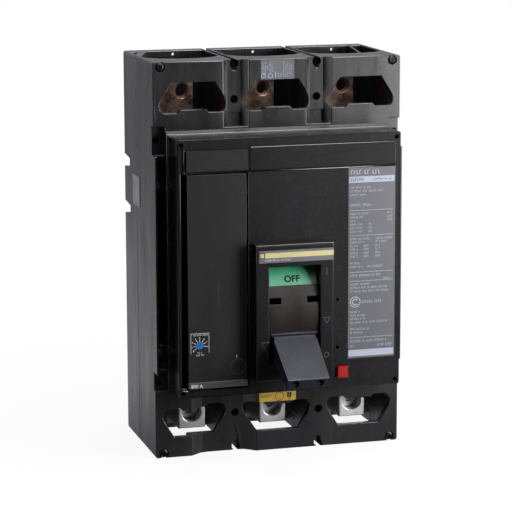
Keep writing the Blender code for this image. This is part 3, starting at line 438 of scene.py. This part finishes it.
def settle_normals(mesh):
    """Keep the large faces flat and turn the normals only across the rounded edges.

    Faces of the rounds carry material index 1 until this has run.
    """
    flats = [[] for _ in mesh.vertices]
    rounds = [[] for _ in mesh.vertices]
    for poly in mesh.polygons:
        kind = rounds if poly.material_index else flats
        for index in poly.vertices:
            kind[index].append((poly.normal.copy(), poly.area))
    flat_limit = math.cos(math.radians(33))
    round_limit = math.cos(math.radians(62))
    normals = []
    for poly in mesh.polygons:
        limit = round_limit if poly.material_index else flat_limit
        for index in poly.vertices:
            near = [(n, area) for n, area in flats[index] if n.dot(poly.normal) > limit]
            if not near:
                near = rounds[index]
            total = sum((n * area for n, area in near), Vector())
            normals.append(total.normalized() if total.length > 0 else poly.normal.copy())
    for poly in mesh.polygons:
        poly.material_index = 0
    mesh.materials.pop()
    mesh.normals_split_custom_set(normals)


def refine_shells():
    """Rounded shells, each with the width of its rounds in mm."""
    widths = {
        "rear_base": 0.8, "main_cover": 0.7, "front_cover": 0.7, "toggle_bezel": 0.8,
        "trip_faceplate": 0.25, "rating_plate": 0.3, "blank_plate": 0.3, "trip_button": 0.5,
        "toggle_shutter": 0.15, "rating_label": 0.1, "cradle": 0.3, "handle_yoke": 0.3,
    }
    for node, width in widths.items():
        refine(node, width)
    behind_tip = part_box("toggle_handle")[0].y + 3.0 * MM
    refine("toggle_handle", 1.3, segments=4, shortest=3.0, foremost=behind_tip)
    for index in (1, 2, 3):
        refine(f"lug_{index}", 0.7, 3)
        refine(f"lug_screw_{index}", 0.4)
        refine(f"line_terminal_{index}", 0.5, 3)
        refine(f"load_terminal_{index}", 0.5)


def ring_points(centre, radius, count, y):
    points = []
    for i in range(count):
        angle = 2 * math.pi * i / count
        points.append(Vector((centre.x + radius * math.cos(angle), y,
                              centre.z + radius * math.sin(angle))))
    return points


def capped_disc(name, centre, profile, outline, depth, body, finish):
    """Turned head facing -Y with a recess of any outline sunk into its flat top.

    The profile holds (radius, height) pairs from the seat to the top, in mm, and
    the outline (x, z) pairs in mm round the centre.
    """
    bm = bmesh.new()
    count = 40
    rings = []
    for radius, height in profile:
        points = ring_points(centre, radius * MM, count, centre.y - height * MM)
        rings.append([bm.verts.new(p) for p in points])
    for lower, upper in zip(rings, rings[1:]):
        for i in range(count):
            j = (i + 1) % count
            bm.faces.new((lower[i], lower[j], upper[j], upper[i]))
    bm.faces.new(rings[0])
    top = centre.y - profile[-1][1] * MM
    rim, pit = [], []
    for x, z in outline:
        rim.append(bm.verts.new((centre.x + x * MM, top, centre.z + z * MM)))
        pit.append(bm.verts.new((centre.x + x * MM, top + depth * MM, centre.z + z * MM)))
    edges = [bm.edges.get((rings[-1][i], rings[-1][i - 1])) for i in range(count)]
    sides = len(outline)
    for i in range(sides):
        j = (i + 1) % sides
        bm.faces.new((rim[i], rim[j], pit[j], pit[i]))
        edges.append(bm.edges.get((rim[i], rim[j])))
    bm.faces.new(pit)
    bmesh.ops.triangle_fill(bm, edges=edges, use_beauty=True, normal=(0, -1, 0))
    bmesh.ops.recalc_face_normals(bm, faces=bm.faces)
    return add_piece(name, bm, body, finish)


def cross_outline(half, arm):
    return [(half, half), (half, arm), (-half, arm), (-half, half), (-arm, half),
            (-arm, -half), (-half, -half), (-half, -arm), (half, -arm), (half, -half),
            (arm, -half), (arm, half)]


def pan_profile(radius, height):
    """Seat to flat top of a pan head, with a rounded shoulder."""
    steps = 5
    sweep = math.radians(72)
    straight = 0.35
    core = 0.62
    points = [(radius, 0.0), (radius, height * straight)]
    for i in range(1, steps + 1):
        angle = sweep * i / steps
        rise = math.sin(angle) / math.sin(sweep)
        points.append((radius * (core + (1 - core) * math.cos(angle)),
                       height * (straight + (1 - straight) * rise)))
    return points


# --- printing --------------------------------------------------------------------
class Print:
    """Ink marks on the front face of a node, placed in mm from its top left corner."""

    def __init__(self, node, name, finish, layer=1):
        low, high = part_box(node)
        self.name, self.finish, self.body = name, finish, BODY_OF[node]
        self.left, self.top = low.x, high.z
        self.back = low.y + 0.5 * INK
        self.front = low.y - layer * INK
        self.bm = bmesh.new()

    def polygon(self, points):
        """Closed outline of (right, down) points, raised by the ink's thickness."""
        rings = []
        for y in (self.back, self.front):
            rings.append([self.bm.verts.new((self.left + a * MM, y, self.top - b * MM))
                          for a, b in points])
        count = len(points)
        faces = [self.bm.faces.new(rings[0]), self.bm.faces.new(rings[1])]
        for i in range(count):
            j = (i + 1) % count
            faces.append(self.bm.faces.new((rings[0][i], rings[0][j], rings[1][j],
                                            rings[1][i])))
        bmesh.ops.recalc_face_normals(self.bm, faces=faces)

    def bar(self, right, down, width, height):
        self.polygon([(right, down), (right + width, down), (right + width, down + height),
                      (right, down + height)])

    def line(self, start, end, width):
        a, b = Vector(start), Vector(end)
        across = (b - a).normalized().orthogonal() * width / 2
        self.polygon([tuple(a - across), tuple(b - across), tuple(b + across),
                      tuple(a + across)])

    def arc(self, centre, radius, width, start=0.0, end=360.0, steps=28):
        for i in range(steps):
            corners = []
            for step, r in ((i, radius), (i + 1, radius), (i + 1, radius - width),
                            (i, radius - width)):
                angle = math.radians(start + (end - start) * step / steps)
                corners.append((centre[0] + r * math.cos(angle), centre[1] - r * math.sin(angle)))
            self.polygon(corners)

    def words(self, right, down, length, height, upright=False):
        """Row of stroke groups that stands in for small print, without any letters."""
        at, step, stem = 0.0, height * 0.66, height * 0.17
        while at < length:
            for _ in range(DRAW.randint(2, 8)):
                if at >= length:
                    break
                level = DRAW.choice((0.0, 0.42, 0.80)) * height
                strokes = ((at, 0.0, stem, height), (at, level, step * 0.72, stem))
                for along, over, wide, tall in strokes:
                    if upright:
                        self.bar(right + over, down - along - wide, tall, wide)
                    else:
                        self.bar(right + along, down + over, wide, tall)
                at += step
            at += step * 0.9

    def done(self):
        return add_piece(self.name, self.bm, self.body, self.finish)


def text_mesh(text, width, height, bold=0.012):
    """Closed lettering in its own plane, centred, of a given size in mm."""
    curve = bpy.data.curves.new("lettering", "FONT")
    curve.body = text
    curve.size = 1.0
    curve.extrude = 0.01
    curve.resolution_u = 4
    curve.offset = bold
    holder = bpy.data.objects.new("lettering", curve)
    bpy.context.scene.collection.objects.link(holder)
    bpy.context.view_layer.update()
    mesh = bpy.data.meshes.new_from_object(holder)
    bpy.data.objects.remove(holder)
    bm = bmesh.new()
    bm.from_mesh(mesh)
    bpy.data.meshes.remove(mesh)
    bmesh.ops.remove_doubles(bm, verts=bm.verts, dist=WELD)
    low = [min(vert.co[k] for vert in bm.verts) for k in range(3)]
    high = [max(vert.co[k] for vert in bm.verts) for k in range(3)]
    sizes = (width * MM, height * MM, 2 * INK)
    for vert in bm.verts:
        for k in range(3):
            share = (vert.co[k] - low[k]) / (high[k] - low[k]) - 0.5
            vert.co[k] = share * sizes[k]
    return bm


def flat_text(name, text, width, height, centre, body, finish):
    """Lettering that faces -Y, its middle at a point of the surface it lies on."""
    bm = text_mesh(text, width, height)
    for vert in bm.verts:
        x, y, z = vert.co
        vert.co = centre + Vector((x, -z, y))
    bmesh.ops.recalc_face_normals(bm, faces=bm.faces)
    return add_piece(name, bm, body, finish)


def flag_text(name, text, width, height, node, angle, finish):
    """Lettering bent round the handle pin, at an angle above horizontal."""
    bm = text_mesh(text, width, height, 0.034)
    radius = 0.0
    for vert in NODES[node].data.vertices:
        arm = vert.co - HANDLE_PIVOT
        radius = max(radius, math.hypot(arm.y, arm.z))
    for vert in bm.verts:
        x, y, z = vert.co
        turn = math.radians(angle) + y / radius
        reach = radius + z
        vert.co = HANDLE_PIVOT + Vector((x, -reach * math.cos(turn), reach * math.sin(turn)))
    bmesh.ops.recalc_face_normals(bm, faces=bm.faces)
    return add_piece(name, bm, BODY_OF[node], finish)


def print_rating_label():
    """Greeked data plate: title, white bands, rules and columns of small print."""
    node = "rating_label"
    ink = Print(node, "rating_text", "print_white")
    narrow = ((2.0, 6.0), (9.0, 4.0), (17.5, 3.0))
    wide = ((2.0, 6.5), (13.5, 4.2), (23.2, 4.0))
    # Each row: mm down, height, and (mm right, length) of its groups.
    rows = (
        (2.0, 3.6, ((2.0, 25.0),)),
        (15.5, 1.7, ((2.0, 18.0),)), (18.5, 1.7, ((2.0, 27.0),)), (21.5, 1.7, ((2.0, 13.0),)),
        (29.6, 2.3, ((2.0, 17.0),)),
        (37.0, 1.7, ((2.0, 16.0), (33.5, 4.0))), (39.9, 1.7, ((2.0, 11.0), (33.5, 4.0))),
        (42.8, 1.7, ((2.0, 4.0), (33.5, 4.0))),
        (45.8, 1.7, narrow), (48.7, 1.7, narrow), (51.7, 1.7, narrow),
        (57.8, 1.7, ((2.0, 16.0), (23.5, 13.5))), (60.6, 1.7, ((2.0, 11.0), (23.5, 9.0))),
        (63.6, 1.7, wide), (66.5, 1.7, wide), (69.5, 1.7, wide), (72.3, 1.7, wide),
        (77.9, 1.7, ((2.0, 7.5),)), (80.9, 1.7, ((2.0, 10.0), (16.5, 13.0))),
        (88.0, 1.9, ((2.0, 26.0),)), (91.4, 1.5, ((30.0, 6.5),)),
        (95.4, 1.6, ((2.0, 17.0),)), (98.3, 1.6, ((2.0, 32.0),)), (101.3, 1.6, ((2.0, 33.0),)),
        (109.8, 2.4, ((12.0, 16.0),)),
        (118.5, 1.6, ((2.0, 7.5),)), (121.4, 1.6, ((2.0, 14.0),)), (124.3, 1.6, ((2.0, 12.5),)),
        (127.3, 1.6, ((2.0, 32.0),)), (132.8, 1.6, ((2.0, 16.0),)), (135.8, 1.6, ((2.0, 10.6),)),
        (142.9, 1.8, ((2.0, 31.0),)), (146.9, 1.8, ((2.0, 3.5), (25.5, 12.0))),
    )
    for down, height, groups in rows:
        for right, length in groups:
            ink.words(right, down, length, height)
    for down in (35.0, 55.7, 86.0, 93.4, 140.5):
        ink.bar(1.4, down, 37.0, 0.35)
    for down, height in ((7.4, 5.0), (151.0, 5.4)):
        ink.bar(0.7, down, 38.6, height)
    mark = (6.25, 111.0)
    ink.arc(mark, 4.6, 0.7)
    ink.arc(mark, 2.9, 0.9, 40, 320)
    ink.done()

    dark = Print(node, "rating_dark_text", "print_dark", 2)
    dark.words(2.2, 8.6, 10.0, 2.5)
    for right, length in ((22.0, 2.5), (26.0, 3.5), (31.0, 2.0), (34.5, 2.6)):
        dark.bar(right, 9.8, length, 0.5)
    dark.line((24.6, 9.9), (26.0, 8.7), 0.35)
    dark.done()


def print_bezel_strip():
    """Yellow stripe with a framed square at its left end, and small print below."""
    node = "bezel_strip"
    stripe = Print(node, "strip_yellow", "print_yellow")
    stripe.bar(4.9, 1.9, 57.4, 4.1)
    stripe.bar(0.9, 2.2, 3.2, 3.4)
    stripe.done()
    dark = Print(node, "strip_dark", "print_dark")
    sides = ((0.4, 1.7, 4.1, 0.5), (0.4, 5.6, 4.1, 0.5), (0.4, 2.2, 0.5, 3.4),
             (4.1, 2.2, 0.6, 3.4))
    for right, down, width, height in sides:
        dark.bar(right, down, width, height)
    dark.done()
    pale = Print(node, "strip_text", "print_white_painted_lit")
    pale.words(4.9, 7.3, 12.5, 1.1)
    pale.words(18.5, 7.3, 8.0, 1.0)
    pale.done()


def print_terminal_label():
    """Columns of upright small print with plain round marks between them."""
    ink = Print("terminal_label", "terminal_text", "print_white")
    columns = (
        (1.1, 10.6, 8.5, 1.5), (3.2, 11.0, 9.5, 1.5), (5.2, 8.0, 4.0, 1.4),
        (7.4, 9.5, 7.5, 1.3), (9.3, 9.5, 6.0, 1.3), (18.6, 14.0, 12.5, 1.2),
        (20.3, 14.0, 11.0, 1.2), (22.0, 14.0, 12.6, 1.2), (23.7, 12.0, 9.0, 1.2),
        (25.4, 13.0, 10.0, 1.2),
    )
    for right, down, length, height in columns:
        ink.words(right, down, length, height, upright=True)
    ink.arc((2.3, 12.7), 1.9, 0.5)
    ink.arc((8.3, 12.8), 2.1, 0.6)
    ink.arc((16.1, 12.6), 1.6, 0.4)
    ink.bar(12.2, 9.6, 0.7, 5.0)
    ink.done()


def print_notice_label():
    """Plain bars and a ring on the yellow label; no sign with a meaning."""
    dark = Print("notice_label", "notice_dark", "print_dark")
    dark.words(1.3, 2.4, 8.6, 2.0)
    dark.bar(24.0, 1.4, 3.6, 3.8)
    dark.bar(25.2, 5.9, 1.2, 1.0)
    dark.arc((17.4, 6.6), 1.1, 0.25)
    dark.done()
    red = Print("notice_label", "notice_red", "print_red")
    red.arc((17.2, 4.25), 4.0, 0.8)
    red.done()
    pale = Print("notice_label", "notice_pale", "print_white", 2)
    pale.bar(24.6, 2.2, 0.5, 2.2)
    pale.bar(26.0, 2.2, 0.5, 2.2)
    pale.done()


def dial_direction(index):
    """Unit step right and up from the dial's middle to one of its ticks."""
    angle = math.radians(DIAL_FIRST - DIAL_STEP * index)
    return math.cos(angle), math.sin(angle)


def print_dial_scale(ink, x, z):
    """Ticks round the dial, its middle x mm right and z mm down; the last one is longer."""
    inner, outer, last = 3.3, 5.4, 7.2
    for i in range(DIAL_TICKS):
        reach = last if i == DIAL_TICKS - 1 else outer
        across, up = dial_direction(i)
        ink.line((x + inner * across, z - inner * up), (x + reach * across, z - reach * up), 0.42)


def print_dial_figures(node, middle):
    """Plain figures outside the ticks."""
    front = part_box(node)[0].y
    radius = 6.5 * MM
    for i in range(DIAL_TICKS - 1):
        across, up = dial_direction(i)
        spot = Vector((middle.x + radius * across, front, middle.z + radius * up))
        flat_text(f"dial_figure_{i + 1}", str(i + 1), 0.8, 1.3, spot, BODY_OF[node],
                  "print_white_painted_lit")


def print_trip_plate():
    """Frame, scale and captions round the adjustment dial, and the amp band's figure."""
    node = "trip_faceplate"
    low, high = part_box("adjustment_dial")
    middle = (low + high) / 2
    ink = Print(node, "trip_print", "print_white_painted_lit")
    x = (middle.x - ink.left) / MM
    z = (ink.top - middle.z) / MM
    ink.bar(x - 7.4, z - 10.2, 15.6, 0.35)
    ink.words(x - 5.0, z - 9.3, 13.0, 1.2)
    ink.bar(x - 7.4, z - 10.2, 0.3, 16.6)
    ink.bar(x + 7.6, z - 7.9, 0.3, 14.0)
    ink.words(x - 1.8, z + 5.0, 3.8, 1.3)
    ink.words(x - 2.8, z + 7.2, 6.6, 1.3)
    ink.bar(x + 30.6, z + 9.4, 0.6, 2.5)
    print_dial_scale(ink, x, z)
    ink.done()
    print_dial_figures(node, middle)
    faint = Print(node, "trip_disc", "engraving")
    faint.arc((41.2, 157.9), 6.4, 0.35)
    faint.done()
    low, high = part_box("rating_plate")
    spot = Vector((low.x + 6.8 * MM, low.y, (low.z + high.z) / 2 - 0.3 * MM))
    flat_text("rating_figure", "800 A", 9.7, 2.9, spot, BODY_OF["rating_plate"], "print_white_painted_lit")


def print_bezel_marks():
    """ON, tripped and OFF marks on the right rail, and the guide lines on the left one."""
    ink = Print("toggle_bezel", "position_marks", "engraving")
    rail = 59.0
    ink.bar(rail - 0.3, 20.7, 0.6, 6.2)
    left, right, tip = (rail - 2.4, 61.9), (rail + 2.8, 61.9), (rail + 0.2, 66.9)
    ink.line(left, right, 0.5)
    ink.line(left, tip, 0.5)
    ink.line(right, tip, 0.5)
    ink.arc((rail, 92.8), 2.2, 0.5)
    ink.bar(4.2, 79.3, 6.0, 0.5)
    ink.line((4.4, 80.1), (8.9, 88.8), 0.3)
    ink.bar(8.8, 88.8, 0.3, 5.0)
    ink.done()


def print_button_mark():
    """Plain mark on the push-to-trip button: an open square with a bar."""
    ink = Print("trip_button", "button_mark", "print_red_dark")
    strokes = ((4.0, 3.6, 5.0, 0.5), (4.0, 8.6, 5.0, 0.5), (8.5, 3.6, 0.5, 5.5),
               (5.4, 6.1, 3.0, 0.5))
    for right, down, width, height in strokes:
        ink.bar(right, down, width, height)
    ink.done()


# --- details that the CAD leaves open --------------------------------------------
def seam_tongues():
    """Tongues in the outer walls that close the sight line through the seam of the case."""
    low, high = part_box("rear_base")
    half, inset = 0.5 * MM, 1.5 * MM
    for name, x in (("seam_tongue_left", low.x + inset), ("seam_tongue_right", high.x - inset)):
        bm = bmesh.new()
        outline = [(x - half, low.y + 2 * MM), (x + half, low.y + 2 * MM), (x + half, low.y - MM),
                   (x, low.y - 1.5 * MM), (x - half, low.y - MM)]
        bottom = [bm.verts.new((px, py, low.z + MM)) for px, py in outline]
        top = [bm.verts.new((px, py, high.z - MM)) for px, py in outline]
        for i in range(len(outline)):
            after = (i + 1) % len(outline)
            bm.faces.new((bottom[i], bottom[after], top[after], top[i]))
        bm.faces.new(bottom)
        bm.faces.new(top)
        bmesh.ops.recalc_face_normals(bm, faces=bm.faces)
        add_piece(name, bm, "case", "black_plastic")


def cavity_screws():
    """Flange screws in the side pockets and cover screws at the bottom of their bores."""
    low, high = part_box("main_cover")
    pocket_depth, inset = 19.0 * MM, 6.2 * MM
    heights = (62.5 * MM, -76.5 * MM)
    count = 0
    for x in (low.x + inset, high.x - inset):
        for z in heights:
            count += 1
            spot = Vector((x, low.y + pocket_depth, z))
            capped_disc(f"flange_screw_{count}", spot, pan_profile(2.7, 2.0),
                        cross_outline(0.4, 1.5), 1.2, "case", "screw_black")
    low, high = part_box("front_cover")
    bore_depth, inset_x, inset_z = 22.0 * MM, 3.5 * MM, 4.1 * MM
    for x in (low.x + inset_x, high.x - inset_x):
        for z in (low.z + inset_z, high.z - inset_z):
            count += 1
            spot = Vector((x, low.y + bore_depth, z))
            capped_disc(f"cover_screw_{count}", spot, pan_profile(1.75, 1.4),
                        cross_outline(0.3, 1.0), 0.8, "case", "steel")


def handle_collar():
    """Rounded ledge where the handle leaves its curved shutter."""
    low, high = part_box("toggle_shutter")
    half = (high.x - low.x) / 2 - 0.7 * MM
    ends = 0.5 * MM
    bm = bmesh.new()
    rings = []
    for x, shrink in ((-half, 0.4), (-half + ends, 0.0), (half - ends, 0.0), (half, 0.4)):
        # Section as (radius in mm, degrees above horizontal) round the handle pin.
        section = ((65.8, -15.4), (65.8, -13.2), (66.9 - shrink, -13.4 - shrink),
                   (67.4 - shrink, -14.2), (67.2 - shrink, -15.2))
        ring = []
        for radius, angle in section:
            turn = math.radians(angle)
            offset = Vector((x, -radius * MM * math.cos(turn), radius * MM * math.sin(turn)))
            ring.append(bm.verts.new(HANDLE_PIVOT + offset))
        rings.append(ring)
    for one, two in zip(rings, rings[1:]):
        for i in range(len(one)):
            j = (i + 1) % len(one)
            bm.faces.new((one[i], one[j], two[j], two[i]))
    bm.faces.new(rings[0])
    bm.faces.new(rings[-1])
    bmesh.ops.recalc_face_normals(bm, faces=bm.faces)
    add_piece("handle_collar", bm, "handle", "handle_plastic")


# --- studio ----------------------------------------------------------------------
def area_light(name, size, power, place, target, only_shine=False):
    """Rectangular lamp; with only_shine it shows in reflections alone."""
    data = bpy.data.lights.new(name, "AREA")
    data.shape = "RECTANGLE"
    data.size, data.size_y = size
    data.energy = power
    lamp = bpy.data.objects.new(name, data)
    lamp.visible_diffuse = not only_shine
    lamp.location = place
    aim = Vector(target) - Vector(place)
    lamp.rotation_euler = aim.to_track_quat("-Z", "Y").to_euler()
    bpy.context.scene.collection.objects.link(lamp)


def white_for_camera(tree, emitter, others):
    """Plain white to the camera, and a cool light of a set level for every other ray."""
    path = tree.nodes.new("ShaderNodeLightPath")
    level = tree.nodes.new("ShaderNodeMix")
    level.inputs["B"].default_value = 1.0
    tree.links.new(path.outputs["Is Camera Ray"], level.inputs["Factor"])
    tree.links.new(others, level.inputs["A"])
    tree.links.new(level.outputs["Result"], emitter.inputs["Strength"])
    tint = tree.nodes.new("ShaderNodeMix")
    tint.data_type = "RGBA"
    tint.inputs[6].default_value = (0.93, 0.92, 1.0, 1.0)
    tint.inputs[7].default_value = (1.0, 1.0, 1.0, 1.0)
    tree.links.new(path.outputs["Is Camera Ray"], tint.inputs[0])
    tree.links.new(tint.outputs[2], emitter.inputs["Color"])


def build_floor():
    """Pale sweep: white to the camera, a faint contact shadow, brighter at the back."""
    floor_z = cad_low.z - 0.4 * MM
    half = 4.0
    mesh = bpy.data.meshes.new("floor")
    corners = [(-half, -half), (half, -half), (half, half), (-half, half)]
    mesh.from_pydata([(x, y, floor_z) for x, y in corners], [], [(0, 1, 2, 3)])
    floor = bpy.data.objects.new("floor", mesh)
    bpy.context.scene.collection.objects.link(floor)
    pale = Shader("floor_pale")
    pale.out.inputs["Base Color"].default_value = (0.9, 0.9, 0.9, 1.0)
    pale.out.inputs["Roughness"].default_value = 0.9
    pale.out.inputs["Specular IOR Level"].default_value = 0.0
    spot = pale.node("TexCoord").outputs["Object"]
    sides = []
    for heading in ((-0.45, 0.9, 0.0), (0.8, 0.5, 0.0)):
        toward = pale.node("VectorMath", operation="DOT_PRODUCT")
        pale.feed(toward.inputs[0], spot)
        toward.inputs[1].default_value = heading
        sides.append(toward.outputs["Value"])
    level = pale.ramp(pale.math("MAXIMUM", *sides), -0.15, 0.20, FLOOR_FRONT, FLOOR_BACK)
    away = pale.node("VectorMath", operation="LENGTH")
    pale.feed(away.inputs[0], spot)
    level = pale.math("MULTIPLY", level, pale.ramp(away.outputs["Value"], 0.4, 1.6, 1.0, 0.5))
    glow = pale.node("Emission")
    white_for_camera(pale.tree, glow, level)
    shadow_near, shadow_far, least_glow = 0.12, 0.45, 0.88
    blend = pale.ramp(away.outputs["Value"], shadow_near, shadow_far, least_glow, 1.0)
    mixed = pale.node("MixShader")
    pale.feed(mixed.inputs[0], blend)
    pale.feed(mixed.inputs[1], pale.out.outputs["BSDF"])
    pale.feed(mixed.inputs[2], glow.outputs["Emission"])
    pale.feed(pale.tree.nodes["Material Output"].inputs["Surface"], mixed.outputs["Shader"])
    mesh.materials.append(pale.mat)


def build_world():
    """Soft surround: bright behind and to the right of the object, dim in front of it."""
    world = bpy.data.worlds.new("studio")
    world.use_nodes = True
    bpy.context.scene.world = world
    tree = world.node_tree
    background = tree.nodes["Background"]
    toward = tree.nodes.new("ShaderNodeVectorMath")
    toward.operation = "DOT_PRODUCT"
    toward.inputs[1].default_value = (0.55, 0.83, 0.0)
    tree.links.new(tree.nodes.new("ShaderNodeTexCoord").outputs["Generated"],
                   toward.inputs[0])
    level = tree.nodes.new("ShaderNodeMapRange")
    level.interpolation_type = "SMOOTHSTEP"
    level.inputs["From Min"].default_value = -0.9
    level.inputs["From Max"].default_value = 0.9
    level.inputs["To Min"].default_value = SURROUND_FRONT
    level.inputs["To Max"].default_value = SURROUND_BACK
    tree.links.new(toward.outputs["Value"], level.inputs["Value"])
    white_for_camera(tree, background, level.outputs["Result"])


def build_lights():
    centre = (0.0, -0.1, 0.0)
    area_light("key_right", (0.30, 0.46), 7.8, (0.46, -0.56, 0.12), (0.05, -0.12, 0.06))
    area_light("edge_left", (0.30, 1.0), 12.0, (-1.1, -0.42, -0.1), (-0.1, -0.12, 0.0), True)
    area_light("edge_top", (0.9, 0.45), 30.0, (0.32, -0.75, 1.15), (0.0, -0.12, 0.1), True)
    area_light("fill_high", (0.6, 0.3), 0.8, (0.1, -0.95, 0.75), (0.0, -0.12, 0.0))
    area_light("low_right", (0.3, 0.15), 1.5, (0.75, -0.50, -0.08), (0.0, -0.1, -0.13))
    area_light("top_soft", (1.0, 0.8), 14.0, (0.1, -0.1, 1.3), centre)


def build_camera():
    """View from the left of the front and a little above, with a long lens."""
    place = Vector((-0.51277, -1.84785, 0.34715))
    forward = Vector((0.26769, 0.94516, -0.18711)).normalized()
    right = Vector((0.96200, -0.27304, -0.00291)).normalized()
    up = right.cross(forward).normalized()
    data = bpy.data.cameras.new("camera")
    data.lens = 158.1
    data.sensor_width = 36.0
    data.clip_start = 0.05
    camera = bpy.data.objects.new("camera", data)
    axes = Matrix((right, up, -forward)).transposed()
    camera.matrix_world = Matrix.Translation(place) @ axes.to_4x4()
    bpy.context.scene.collection.objects.link(camera)
    bpy.context.scene.camera = camera


refine_shells()
seam_tongues()
cavity_screws()
handle_collar()
print_rating_label()
print_bezel_strip()
print_terminal_label()
print_notice_label()
print_trip_plate()
print_bezel_marks()
print_button_mark()
flag_text("off_lettering", "OFF", 13.3, 5.75, "off_flag", 25.6, "print_dark")
build_floor()
build_world()
build_lights()
build_camera()
bpy.context.scene.view_settings.view_transform = "Standard"
